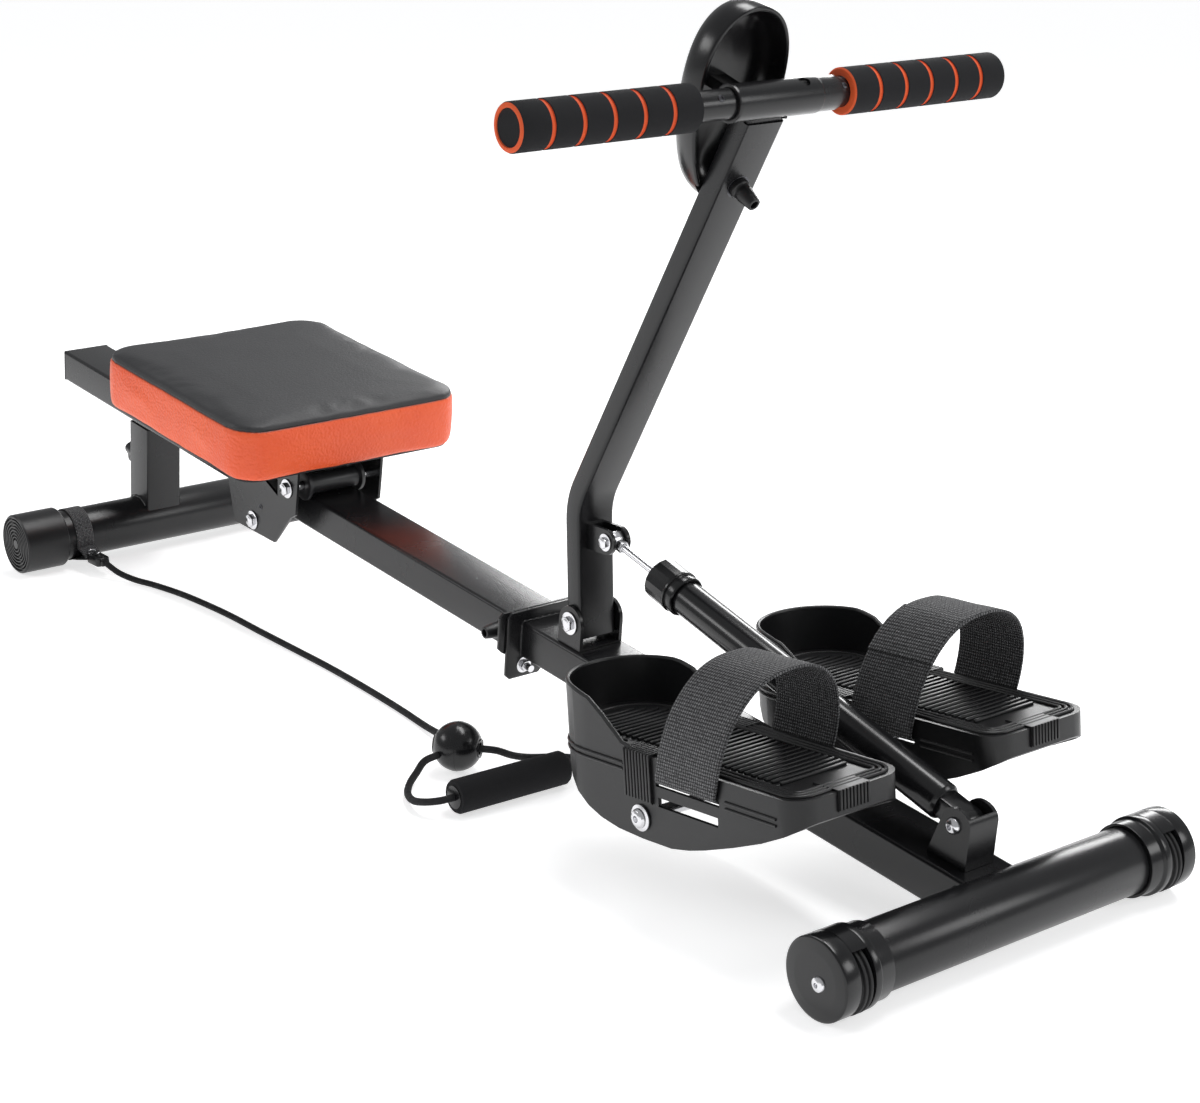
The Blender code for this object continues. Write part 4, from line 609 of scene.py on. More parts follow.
hinge_pin = eased([(0.0, 0.0555), (0.0046, 0.0555), (0.0046, 0.0577), (0.0030, 0.0577), (0.0030, 0.1123),
                   (0.0046, 0.1123), (0.0046, 0.1143), (0.0, 0.1143)], 0.0005)
piece("hinge_pin", spun(hinge_pin, Matrix.Translation(HINGE), 32), BRIGHT_STEEL, "front_frame",
      ["fold_hinge_pin"])


def hex_head(place, radius, height, washer=0.0):
    """A hexagon head with a chamfered top, on a washer, standing up its frame's Z."""
    head = bmesh.new()
    bmesh.ops.create_cone(head, cap_ends=True, segments=6, radius1=radius, radius2=radius, depth=height)
    bmesh.ops.translate(head, vec=(0, 0, height / 2 + washer), verts=head.verts)
    softened(head, radius * 0.07)
    crown = [(0.0, washer + height * 0.9), (radius * 0.80, washer + height * 0.9),
             (radius * 0.62, washer + height * 1.08), (0.0, washer + height * 1.12)]
    shapes = [in_frame(head, place), spun(crown, place, 32)]
    if washer:
        shapes.append(spun(eased(rect(0.0, radius * 1.45, 0.0, washer), washer * 0.3), place, 40))
    return shapes


def rod_between(start, end, radius):
    """A plain round rod between two points."""
    way = Vector(end) - Vector(start)
    return spun(rect(0.0, radius, 0.0, way.length), facing(start, way), 24)


along_rail = (RAIL.to_3x3() @ Vector((1, 0, 0))).normalized()
stop_place, stop_start = (RAIL @ Vector((station, -0.022, -0.039)) for station in
                          (FRONT_PLATE[1], FRONT_PLATE[0] + 0.0004))
piece("stop_bolt", hex_head(facing(stop_place, along_rail), 0.0050, 0.0040, 0.0008)
      + [rod_between(stop_start, stop_place + along_rail * 0.0110, 0.003)],
      BRIGHT_STEEL, "front_frame", ["fold_stop_bolt"])


def pull_pin(name, reach_in, place, node_name):
    """A spring pin: a ringed collar and a tapered knob with a hollow tip."""
    profile = [(0.0, -reach_in), (0.0038, -reach_in), (0.0038, 0.0003), (0.0080, 0.0003), (0.0080, 0.0040),
               (0.0072, 0.0046), (0.0066, 0.0060), (0.0068, 0.0090), (0.0050, 0.0212), (0.0034, 0.0216),
               (0.0030, 0.0206), (0.0029, 0.0160), (0.0, 0.0160)]
    piece(name, spun(eased(profile, 0.0003), place, 48), MATT_PLASTIC, node_name, [node_name])


CROSSWISE = Matrix.Rotation(math.pi / 2, 4, "X")
pull_pin("fold_pin", 0.014, RAIL @ Matrix.Translation((FOLD - 0.020, -RAIL_HALF, -0.014)) @ CROSSWISE,
         "fold_pull_pin")


def weld_bead(name, line, body, radius=0.0016):
    """A rippled weld along a joint, painted over."""
    fine = []
    for a, b in zip(line, line[1:]):
        count = max(2, int((b - a).length / 0.0016))
        fine += [a.lerp(b, step / count) for step in range(count)]
    shown(name, swept(name, fine + [line[-1]], radius, 3, (1.12, 1.0, 0.84, 0.96)), POWDER_COAT, body)


edge = RAIL_HALF - 0.001
for word, station, body in (("front", FRONT_PLATE[1], "front_frame"), ("rear", REAR_PLATE[0], "rear_frame")):
    weld_bead(word + "_plate_weld", [RAIL @ Vector((station, y, z)) for y, z in
                                     ((-RAIL_HALF, -0.030), (-RAIL_HALF, -0.002), (-edge, 0.0), (edge, 0.0),
                                      (RAIL_HALF, -0.002), (RAIL_HALF, -0.030))], body)
for word, side in SIDES:
    weld_bead("tube_weld_" + word, [FRONT_TUBE + Vector((x, 0.0, z)) + Vector((0, side * RAIL_HALF, 0))
                                    for x, z in arc(0.0252, 168, -6, 6)], "front_frame")
weld_bead("tube_weld_top", [FRONT_TUBE + Vector((-0.0218, y, 0.0130)) for y in (-edge, 0.0, edge)],
          "front_frame")


# ---- Rear post and foot
# A 38 mm square post telescopes on a stub under the rail.  It stands on a cross tube in matt caps
# whose faces have raised rings, and a five-lobed knob clamps it.
foot_depth = (RAIL.inverted() @ REAR_TUBE).z
post = slab(round_box(0.038, 0.038, 0.0022, (POST_STATION, 0.0), 4), foot_depth + 0.006, -0.038, "Z")
post_bore = slab(round_box(0.0344, 0.0344, 0.0012, (POST_STATION, 0.0), 2), foot_depth + 0.030, -0.030, "Z")


def carved(shape, tool):
    """A shape with a tool's volume cut out of it."""
    pair = []
    for part in (shape, tool):
        bmesh.ops.recalc_face_normals(part, faces=part.faces)
        pair.append(linked("carving", mesh_of("carving", part)))
    step = pair[0].modifiers.new("Cut", "BOOLEAN")
    step.operation = "DIFFERENCE"
    step.solver = "EXACT"
    step.object = pair[1]
    result = bmesh.new()
    result.from_mesh(evaluated(pair[0]))
    for made in pair:
        bpy.data.objects.remove(made)
    return result


piece("post_tube", in_frame(carved(post, post_bore), RAIL), POWDER_COAT, "rear_foot", ["rear_post"], 30.0)
piece("rear_tube", spun(tube_profile(0.155, TUBE_RADIUS, WALL_RADIUS), facing(REAR_TUBE, ACROSS), 96),
      POWDER_COAT, "rear_foot", ["rear_stabilizer"])
REAR_HALF = 0.1585
face = [(0.0, REAR_HALF - 0.0030), (0.0252, REAR_HALF - 0.0032), (0.0252, REAR_HALF - 0.046),
        (CAP_RADIUS - 0.0008, REAR_HALF - 0.046), (CAP_RADIUS, REAR_HALF - 0.0448),
        (CAP_RADIUS, REAR_HALF - 0.0018), (CAP_RADIUS - 0.0016, REAR_HALF - 0.0002)]
for ring in range(7):
    radius = 0.0262 - 0.0034 * ring
    face += [(radius + 0.0012, REAR_HALF - 0.0002), (radius + 0.0004, REAR_HALF - 0.0021),
             (radius - 0.0004, REAR_HALF - 0.0021), (radius - 0.0012, REAR_HALF - 0.0002)]
face.append((0.0, REAR_HALF - 0.0002))
for word, side in SIDES:
    piece("ringed_cap_" + word, spun(face, facing(REAR_TUBE, (0, side, 0)), 96), MATT_PLASTIC, "rear_foot",
          ["rear_cap_" + word], 25.0)

KNOB = (RAIL @ Matrix.Translation((POST_STATION - 0.019, 0.0, foot_depth + 0.0636))
        @ Matrix.Rotation(-math.pi / 2, 4, "Y"))
lobes = []
for step in range(80):
    angle = math.tau * step / 80
    radius = 0.0138 * (1 + 0.10 * math.cos(5 * angle))
    lobes.append((radius * math.cos(angle), radius * math.sin(angle)))
grip = softened(slab(lobes, 0.0045, 0.0195, "Z"), 0.0018, 3, 60.0)
hub = spun(eased(rect(0.0, 0.0080, 0.0003, 0.0060), 0.0005), KNOB, 40)
boss = spun(eased([(0.0, 0.0190), (0.0070, 0.0190), (0.0064, 0.0203), (0.0, 0.0203)], 0.0004), KNOB, 40)
screw = rod_between(KNOB @ Vector((0, 0, -0.0016)), KNOB @ Vector((0, 0, 0.004)), 0.0038)
piece("clamp_knob", [in_frame(grip, KNOB), hub, boss, screw], MATT_PLASTIC, "height_knob", ["height_knob"])
for word, side in SIDES:
    weld_bead("post_weld_" + word, [REAR_TUBE + Vector((x, side * 0.0190, z))
                                    for x, z in arc(0.0255, 48, 8.4, 11)], "rear_foot")
for word, x in (("front", 0.0190), ("back", -0.0190)):
    high = math.sqrt(0.0250 ** 2 - x ** 2) + 0.0006
    weld_bead("post_weld_" + word, [REAR_TUBE + Vector((x, y, high)) for y in (-0.018, 0.0, 0.018)],
              "rear_foot")


# ---- Rope anchor
# A band of black webbing goes round the rear tube, and its tail holds a small wire hook and a moulded
# buckle with two round studs that grips the rope.
def webbing(name, along, across):
    """Black polyester webbing with a number of yarns along and across its UV map; its colour carries painted
    highlights on the yarn crests and painted shade in the gaps between them.
    """
    made, tree, shader = finish(name, (0.010, 0.010, 0.011), 0.80, specular=0.35)
    drift = cloudy(tree, place_of(tree), 700.0, 3.0)
    yarn = woven(tree, place_of(tree, "UV", (across, along, 1.0)))
    lumps_and_painted_glints = calc(tree, "MULTIPLY", calc(tree, "POWER", yarn, 2.0),
                 calc(tree, "MULTIPLY_ADD", drift, 3.6, -0.95))
    # painted light: the yarn crests are tinted bright like glints and the gaps between yarns near black; the
    # same relief also drives the bump
    tinted(tree, shader, lumps_and_painted_glints, (0.0015, 0.0015, 0.0018), (0.270, 0.270, 0.280))
    between(tree, drift, 0.60, 0.90, shader.inputs["Roughness"])
    preset(shader, {"Sheen Weight": 0.08, "Sheen Roughness": 0.4})
    raised(tree, shader, lumps_and_painted_glints, 0.85, 0.0014)
    return made


def ribbon(name, placer, steps, yarn_counts, thickness, body, stands_for=()):
    """A strap whose middle surface is placed by its share along and across it."""
    shape = bmesh.new()
    shape.loops.layers.uv.new("UVMap")
    bmesh.ops.create_grid(shape, x_segments=steps[1], y_segments=steps[0], size=0.5, calc_uvs=True)
    for corner in shape.verts:
        corner.co = placer(corner.co.y + 0.5, corner.co.x + 0.5)
    mesh = mesh_of(name, shape)
    mesh.shade_smooth()
    strap = shown(name, mesh, webbing(name + "_webbing", *yarn_counts), body,
                  stands_for)
    thicken = strap.modifiers.new("Solidify", "SOLIDIFY")
    thicken.thickness = thickness
    thicken.offset = 0.0


BUCKLE = Vector((REAR_TUBE.x + 0.0515, -0.094, 0.0145))
band_line = [Vector((0.0260 * math.cos(angle), 0.0260 * math.sin(angle))) for angle in
             (math.radians(-18) + math.radians(314) * step / 39 for step in range(40))]
tail = Vector((BUCKLE.x - 0.008 - REAR_TUBE.x, BUCKLE.z - REAR_TUBE.z))
band_line = ([tail + (band_line[0] - tail) * t + Vector((0, 0.0007)) for t in (0.0, 0.35, 0.7)] + band_line
             + [band_line[-1] + (tail - band_line[-1]) * t - Vector((0, 0.0004)) for t in (0.35, 0.7, 1.0)])


def band_place(along, across):
    """A point of the band by its shares along and across it."""
    spot = along * (len(band_line) - 1)
    low = min(int(spot), len(band_line) - 2)
    x, z = band_line[low].lerp(band_line[low + 1], spot - low)
    return Vector((REAR_TUBE.x + x, -0.094 + (across - 0.5) * 0.0185, REAR_TUBE.z + z))


ribbon("anchor_band", band_place, (90, 6), (190.0 / 1.6, 12.0), 0.0011, "rear_foot", ["rope_anchor"])
buckle_body = softened(slab(round_box(0.024, 0.015, 0.004, (BUCKLE.x, -0.094), 4), 0.0102, 0.0188, "Z"),
                       0.0012, 3)
studs = [spun(eased([(0.0, 0.0), (0.0036, 0.0), (0.0034, 0.0011), (0.0018, 0.0013), (0.0016, 0.0007),
                     (0.0, 0.0007)], 0.0002), Matrix.Translation((BUCKLE.x + x, -0.094, 0.0186)), 32)
         for x in (-0.0055, 0.0055)]
waist = block((BUCKLE.x + 0.0095, -0.0985, 0.0110), (BUCKLE.x + 0.0165, -0.0895, 0.0180), 0.0014)
piece("rope_buckle", [buckle_body, waist] + studs, GLOSS_PLASTIC, "rear_foot")
hook_line = [Vector((BUCKLE.x - 0.010 + 0.007 * math.cos(a), -0.094 + 0.0055 * math.sin(a), 0.0200))
             for a in (math.tau * step / 24 for step in range(21))]
shown("wire_hook", swept("wire_hook", hook_line, 0.0009, 3), BRIGHT_STEEL, "rear_foot")


# ---- Seat
# A foam pad on a board: a smooth black vinyl top panel is sewn to grained orange vinyl sides along a
# seam at the top edge.  The cover is pulled under and stapled to the board.
SEAT = RAIL @ Matrix.Translation((-0.9495, 0.0, 0.0))
SEAT_LENGTH, SEAT_WIDTH = 0.275, 0.250
SEAT_LOW, SEAT_HIGH = 0.0372, 0.0933
SEAT_CORNER = 0.030
PULL_IN = 0.0035


def pad_block():
    """The pad before it swells, a little under size."""
    outline = round_box(SEAT_LENGTH - 2 * PULL_IN, SEAT_WIDTH - 2 * PULL_IN, SEAT_CORNER, (0.0, 0.0), 10)
    shape = slab(outline, SEAT_LOW + 0.0010, SEAT_HIGH - 0.0028, "Z")
    return softened(shape, 0.0045, 3, 60.0)


seat_pad = linked("seat_pad", mesh_of("seat_pad", pad_block()))
remesh = seat_pad.modifiers.new("Remesh", "REMESH")
remesh.mode = "VOXEL"
remesh.voxel_size = 0.0045
seat_mesh = evaluated(seat_pad)
seat_pad.modifiers.clear()
seat_pad.data = seat_mesh
before = [corner.co.copy() for corner in seat_mesh.vertices]
SEAM_HEIGHT = max(start.z for start in before) - 0.0046
seam = seat_mesh.attributes.new("seam_distance", "FLOAT", "POINT")
for corner in seat_mesh.vertices:
    seam.data[corner.index].value = corner.co.z - SEAM_HEIGHT
cloth = seat_pad.modifiers.new("Cloth", "CLOTH")
cloth.settings.use_pressure = True
cloth.settings.uniform_pressure_force = 4.0
cloth.settings.effector_weights.gravity = 0.0
cloth.settings.mass = 0.3
cloth.point_cache.frame_start = 1
cloth.point_cache.frame_end = 20
for frame_number in range(1, 21):
    bpy.context.scene.frame_set(frame_number)
swollen = evaluated(seat_pad)
seat_pad.modifiers.clear()
bpy.context.scene.frame_set(1)
moves = [corner.co - start for corner, start in zip(swollen.vertices, before)]
SWELL_CAP = 0.0030
GROOVE_DEEP, GROOVE_WIDE = 0.0007, 0.0016


def edge_distance(x, y):
    """How far inside the pad's outline a point is, seen from above."""
    qx = abs(x) - (SEAT_LENGTH / 2 - SEAT_CORNER)
    qy = abs(y) - (SEAT_WIDTH / 2 - SEAT_CORNER)
    outside = Vector((max(qx, 0.0), max(qy, 0.0))).length
    return SEAT_CORNER - outside - min(max(qx, qy), 0.0)


for corner, start, move in zip(seat_mesh.vertices, before, moves):
    if move.length > SWELL_CAP:
        move = move.normalized() * SWELL_CAP
    inside = max(0.0, edge_distance(start.x, start.y))
    height_share = (start.z - SEAT_LOW) / (SEAT_HIGH - SEAT_LOW)
    crown = 0.0016 * min(1.0, inside / 0.06) if height_share > 0.9 else 0.0
    belly = 0.0014 * math.sin(math.pi * min(1.0, max(0.0, height_share))) if inside < 0.010 else 0.0
    away = Vector((start.x, start.y, 0.0))
    away = away.normalized() * belly if away.length > 0 else away
    placed = start + move + Vector((0, 0, crown)) + away
    placed.z = max(placed.z, SEAT_LOW + 0.0004)
    corner.co = placed
finer = seat_pad.modifiers.new("Subdivision", "SUBSURF")
finer.levels = finer.render_levels = 1
seat_mesh = evaluated(seat_pad)
bpy.data.objects.remove(seat_pad)
seam = seat_mesh.attributes["seam_distance"]
for corner in seat_mesh.vertices:
    distance = seam.data[corner.index].value
    inward = Vector((corner.co.x, corner.co.y, 0.0)).normalized()
    corner.co -= inward * GROOVE_DEEP * math.exp(-(distance / GROOVE_WIDE) ** 2)
seat_mesh.transform(SEAT)
seat_mesh.shade_smooth()

vinyl, tree, shader = finish("seat_vinyl", (0.80, 0.10, 0.022), 0.42)
distance = node(tree, "Attribute", {}, attribute_name="seam_distance")["Fac"]
top_panel = node(tree, "MapRange", {"Value": distance, "From Min": -0.0003, "From Max": 0.0003})["Result"]
where = place_of(tree)
cells = node(tree, "TexVoronoi", {"Vector": where, "Scale": 430.0}, feature="SMOOTH_F1")["Distance"]
cloud, fine = cloudy(tree, where, 22.0, 3.0), cloudy(tree, where, 1400.0, 2.0)
panels = mixed(tree, top_panel, mixed(tree, cloud, (0.76, 0.078, 0.017), (0.90, 0.130, 0.032)),
               mixed(tree, cloud, (0.016, 0.016, 0.018), (0.026, 0.026, 0.028)))
seam_line = calc(tree, "POWER", 2.718, calc(tree, "MULTIPLY", calc(
    tree, "POWER", calc(tree, "ABSOLUTE", calc(tree, "DIVIDE", distance, 0.0009)), 2.0), -1.0))
tinted(tree, shader, seam_line, panels, (0.004, 0.004, 0.004))
between(tree, top_panel, 0.46, 0.50, shader.inputs["Roughness"])
pebbles = calc(tree, "MULTIPLY", cells, calc(tree, "MULTIPLY_ADD", top_panel, -0.85, 1.0))
relief = calc(tree, "ADD", calc(tree, "MULTIPLY", pebbles, -0.9), calc(tree, "MULTIPLY", fine, 0.12))
raised(tree, shader, calc(tree, "SUBTRACT", relief, seam_line), 0.85, 0.0010)
seat_cover = shown("seat_cover", seat_mesh, vinyl, "seat_carriage", ["seat_cushion"])

board_outline = round_box(0.251, 0.226, 0.018, (0.0, 0.0), 6)
piece("seat_base", in_frame(softened(slab(board_outline, 0.0368, 0.0420, "Z"), 0.0006), SEAT), RUBBER,
      "seat_carriage", ["seat_board"])
staples = [block((x - 0.006, y - 0.0004, 0.0361), (x + 0.006, y + 0.0004, 0.0369), 0.0002, SEAT)
           for x in (-0.09, -0.045, 0.0, 0.045, 0.09) for y in (-0.104, 0.104)]
piece("cover_staples", staples, BRIGHT_STEEL, "seat_carriage")


# ---- Seat carriage
# Two pressed steel cheeks and a top plate saddle the rail.  Three bolts across the cheeks carry
# flanged nylon rollers, two on the rail and one beneath it.
cad_look("carriage", POWDER_COAT)
BLACK_NYLON = grained("black_nylon", (0.014, 0.014, 0.015), (0.024, 0.024, 0.026), 0.30, 0.45, 900.0, 0.2,
                      0.0002)
CHEEK = 0.0465


def through_bolt(name, centre, half, gap, head, radius, body, node_name):
    """A rod across the machine with a hexagon head a gap past each end."""
    shapes = [rod_between(centre - Vector((0, half, 0)), centre + Vector((0, half, 0)), radius)]
    for side in (-1, 1):
        shapes += hex_head(facing(centre + Vector((0, side * (half + gap), 0)), (0, side, 0)), *head)
    piece(name, shapes, BRIGHT_STEEL, body, [node_name])


wheel = [(0.0043, -0.0301), (0.0140, -0.0301), (0.0140, -0.0265), (0.0095, -0.0258), (0.0095, 0.0258),
         (0.0140, 0.0265), (0.0140, 0.0301), (0.0043, 0.0301)]
for pattern, station, low in (("upper{}_front", 0.0905, 0.0098), ("upper{}_rear", -0.0115, 0.0098),
                              ("lower{}", 0.0310, -0.0418)):
    centre = SEAT @ Vector((station, 0.0, low))
    through_bolt(pattern.format("") + "_bolt", centre, CHEEK, 0.0003, (0.0062, 0.0036, 0.0010), 0.004,
                 "seat_carriage", pattern.format("_axle"))
    piece(pattern.format("") + "_roller", spun(eased(wheel, 0.0006), facing(centre, ACROSS), 48), BLACK_NYLON,
          pattern.format("_roller"), [pattern.format("_roller")])
front_hole = SEAT @ Vector((0.0445, 0.0, -0.024))
for word, side in SIDES:
    piece("cheek_hole_" + word, spun(eased(rect(0.0013, 0.0026, 0.0, 0.0005), 0.0001),
                                     facing(front_hole + Vector((0, side * CHEEK, 0)), (0, side, 0)), 24),
          DARK_STEEL, "seat_carriage")


# ---- Pull arm
# A bent length of flat-sided steel tube stands in a two-eared bracket on the rail.  The handlebar's
# stem slides in its mouth, and a spring pin with a tapered knob locks it.
ARM = Vector((0.193, 0.0, 0.1184))
BEND = Vector((0.1905, 0.0, 0.219))
BAR = Vector((0.3946, 0.0, 0.560))
ARM_WIDE, ARM_DEEP = 0.036, 0.018
arm_way = (BAR - BEND).normalized()
foot_way = (BEND - ARM).normalized()
arm_front = Vector((arm_way.z, 0.0, -arm_way.x))
ARM_TURN = Matrix((arm_front, ACROSS, arm_way)).transposed().to_4x4()
ARM_FOOT_LENGTH, ARM_TOP_GAP, BEND_RADIUS = 0.013, 0.0145, 0.060


def arm_line():
    """Centre points of the arm with its smooth bend."""
    back = BEND_RADIUS * math.tan(foot_way.angle(arm_way) / 2)
    points = [ARM - foot_way * ARM_FOOT_LENGTH]
    for step in range(13):
        t = step / 12
        points.append((BEND - foot_way * back) * (1 - t) ** 2 + BEND * 2 * t * (1 - t)
                      + (BEND + arm_way * back) * t ** 2)
    return points + [BAR - arm_way * ARM_TOP_GAP]


def flat_tube(points, width, depth, radius, hollow):
    """A flat-sided tube with round corners along points in one upright plane, open at its mouth."""
    shape = bmesh.new()
    first = points[1] - points[0]
    turn = Matrix((Vector((first.z, 0, -first.x)).normalized(), ACROSS, first.normalized())).transposed()
    section = round_box(depth, width, radius, (0.0, 0.0), 4)
    ring = [shape.verts.new(points[0] + turn @ Vector((a, b, 0.0))) for a, b in section]
    shape.faces.new(ring)
    edges = [shape.edges.get((ring[i - 1], ring[i])) for i in range(len(ring))]
    for index in range(1, len(points)):
        before = (points[index] - points[index - 1]).normalized()
        after = (points[min(index + 1, len(points) - 1)] - points[index])
        after = after.normalized() if after.length > 0 else before
        along = (before + after).normalized()
        side = Vector((along.z, 0, -along.x)) / max(0.2, along.dot(before))
        grown = bmesh.ops.extrude_edge_only(shape, edges=edges)["geom"]
        ring = [item for item in grown if isinstance(item, bmesh.types.BMVert)]
        edges = [item for item in grown if isinstance(item, bmesh.types.BMEdge)
                 and item.verts[0] in ring and item.verts[1] in ring]
        last_centre, last_side = points[index - 1], turn.col[0]
        for corner in ring:
            offset = corner.co - last_centre
            corner.co = points[index] + side * offset.dot(last_side) / last_side.length_squared + Vector(
                (0, offset.y, 0))
        turn = Matrix((side, Vector((0, 1, 0)), along)).transposed()
    mouth_face = bmesh.ops.contextual_create(shape, geom=edges)["faces"]
    bmesh.ops.recalc_face_normals(shape, faces=shape.faces)
    bmesh.ops.inset_region(shape, faces=mouth_face, thickness=hollow, use_even_offset=True)
    bmesh.ops.translate(shape, vec=-(points[-1] - points[-2]).normalized() * 0.012,
                        verts=list({corner for face in mouth_face for corner in face.verts}))
    return shape


piece("arm_body", flat_tube(arm_line(), ARM_WIDE, ARM_DEEP, 0.0028, 0.0015), POWDER_COAT, "arm", ["arm_tube"],
      28.0)
for name in ("arm_bracket", "damper_top_bracket", "damper_clevis"):
    cad_look(name, POWDER_COAT)
through_bolt("pivot_bolt", ARM, 0.0218, 0.0003, (0.0066, 0.0036, 0.0010), 0.004, "front_frame",
             "arm_pivot_bolt")
pin_frame = facing(BAR - arm_way * 0.071 + arm_front * (ARM_DEEP / 2), arm_front)
pull_pin("stem_pin", 0.0015, pin_frame, "handlebar_pin")
pin_ring = [(0.0042, 0.0001), (0.0095, 0.0001), (0.0090, 0.0002), (0.0042, 0.0002)]
piece("stem_pin_nut", spun(eased(pin_ring, 0.00005), pin_frame, 40), DARK_STEEL, "arm")


# ---- Oil damper
# A chromed rod runs into a black steel cylinder through an adjusting cap with flat facets and ring
# steps.  The cylinder's eye sits between the ears of a clevis on the front of the rail.
DAMPER_TOP = Vector((0.223, 0.0, 0.192))
DAMPER_FOOT = Vector((0.6192, 0.0, 0.0844))
DAMPER = Matrix.Translation(DAMPER_TOP) @ Matrix.Rotation(
    math.atan2(DAMPER_FOOT.x - DAMPER_TOP.x, DAMPER_FOOT.z - DAMPER_TOP.z), 4, "Y")
DAMPER_LENGTH = (DAMPER_FOOT - DAMPER_TOP).length
rod_shape = spun(rect(0.0, 0.003, 0.006, 0.190), DAMPER, 32)
rod_eye = spun(eased(rect(0.0033, 0.0075, -0.005, 0.005), 0.0005), DAMPER @ CROSSWISE, 40)
rod_nut = hex_head(DAMPER @ Matrix.Translation((0, 0, 0.0075)), 0.0052, 0.0060)
piece("chrome_rod", [rod_shape, rod_eye] + rod_nut, BRIGHT_STEEL, "damper_rod", ["damper_rod"])
through_bolt("rod_bolt", DAMPER_TOP, 0.009, 0.0001, (0.0050, 0.0028, 0.0008), 0.0029, "arm",
             "damper_top_bolt")
barrel_start, barrel_end = 0.063, DAMPER_LENGTH - 0.022
barrel = eased([(0.0034, barrel_start), (0.014, barrel_start), (0.014, barrel_end - 0.003),
                (0.0115, barrel_end), (0.0, barrel_end), (0.0, barrel_end - 0.010),
                (0.0034, barrel_end - 0.010)], 0.0008)
eye_block = block((-0.0080, -0.0090, barrel_end - 0.002), (0.0080, 0.0090, DAMPER_LENGTH), 0.0010, DAMPER)
eye_round = spun(eased(rect(0.0, 0.0080, -0.0090, 0.0090), 0.0010),
                 DAMPER @ Matrix.Translation((0, 0, DAMPER_LENGTH)) @ CROSSWISE, 48)
piece("oil_cylinder", [spun(barrel, DAMPER, 80), eye_block, eye_round], GLOSS_PLASTIC, "damper_cylinder",
      ["damper_cylinder"], 30.0)
cap_bore = 0.01435
facets = spun(eased([(0.0045, 0.060), (0.0148, 0.060), (0.0172, 0.0622), (0.0172, 0.0830), (cap_bore, 0.0830),
                     (cap_bore, 0.0627), (0.0045, 0.0627)], 0.0004), DAMPER, 18)
rings = [(cap_bore, 0.0830), (0.0172, 0.0830), (0.0175, 0.0836), (0.0175, 0.0852), (0.0160, 0.0858),
         (0.0160, 0.0878), (0.0166, 0.0884), (0.0166, 0.0926), (0.0158, 0.0939), (cap_bore, 0.0939)]
piece("damper_cap", [facets, spun(eased(rings, 0.0002), DAMPER, 72)], GLOSS_PLASTIC, "damper_dial",
      ["damper_dial"], 14.0)
SCREW_FACE = 0.0143
dome = [(0.0, SCREW_FACE), (0.0064, SCREW_FACE), (0.0062, SCREW_FACE + 0.0012), (0.0052, SCREW_FACE + 0.0030),
        (0.0034, SCREW_FACE + 0.0042), (0.0022, SCREW_FACE + 0.0045), (0.0018, SCREW_FACE + 0.0022),
        (0.0, SCREW_FACE + 0.0022)]
for word, side in SIDES:
    shank = rod_between(*(DAMPER_FOOT + Vector((0, side * y, 0)) for y in (0.0112, 0.0145)), 0.0029)
    piece("clevis_screw_" + word, [spun(dome, facing(DAMPER_FOOT, (0, side, 0)), 32), shank], BRIGHT_STEEL,
          "front_frame", ["damper_bolt_" + word])
BUMPER = Vector((0.297, 0.0, 0.100))
bumper = eased([(0.0, 0.0003), (0.0130, 0.0003), (0.0130, 0.0120), (0.0118, 0.0150), (0.0090, 0.0170),
                (0.0, 0.0176)], 0.0009)
piece("rail_stop", spun(bumper, RAIL @ Matrix.Translation(((RAIL.inverted() @ BUMPER).x, 0, 0)), 48), RUBBER,
      "front_frame", ["rail_bumper"])


# ---- Handlebar and grips
# A steel cross bar runs through a welded sleeve on the sliding stem.  Each end wears a foam grip with
# five orange grooves, an orange ring round its end disc and an orange inner face.
def grooved(y_low, y_high, radius, grooves):
    """A foam sleeve's closed profile with square grooves cut round it."""
    profile = [(0.0113, y_low), (radius - 0.0012, y_low), (radius, y_low + 0.0010)]
    for index in range(grooves):
        middle = y_low + (y_high - y_low) * (index + 1) / (grooves + 1)
        profile += [(radius - deep, middle + away) for deep, away in
                    ((0.0, -0.0022), (0.0006, -0.0016), (0.0012, -0.0015), (0.0014, 0.0), (0.0012, 0.0015),
                     (0.0006, 0.0016), (0.0, 0.0022))]
    profile += [(radius, y_high - 0.0020), (radius - 0.0006, y_high - 0.0008), (radius - 0.0022, y_high),
                (0.0134, y_high), (0.0130, y_high - 0.0009), (0.0, y_high - 0.0008), (0.0, y_high - 0.0030),
                (0.0113, y_high - 0.0030)]
    return profile


ORANGE_FOAM = grained("orange_foam", (0.62, 0.075, 0.018), (0.78, 0.115, 0.028), 0.62, 0.80, 2400.0, 0.5,
                      0.0004, specular=0.35)
GRIP_LOW, GRIP_HIGH, GRIP_RADIUS = 0.071, 0.226, 0.0172
for word, side in SIDES:
    foam_shape = spun(grooved(GRIP_LOW, GRIP_HIGH, GRIP_RADIUS, 5), facing(BAR, (0, side, 0)), 80)
    for face in foam_shape.faces:
        middle = face.calc_center_median() - BAR
        along = side * middle.y
        radius = math.hypot(middle.x, middle.z)
        in_groove = (GRIP_RADIUS - 0.0016 < radius < GRIP_RADIUS - 0.0004
                     and GRIP_LOW + 0.01 < along < GRIP_HIGH - 0.01)
        end_ring = along > GRIP_HIGH - 0.0012 and radius > 0.0131
        inner_face = along < GRIP_LOW + 0.0006
        face.material_index = 1 if in_groove or end_ring or inner_face else 0
    piece("foam_grip_" + word, foam_shape, [FOAM, ORANGE_FOAM], "handlebar", ["grip_" + word])

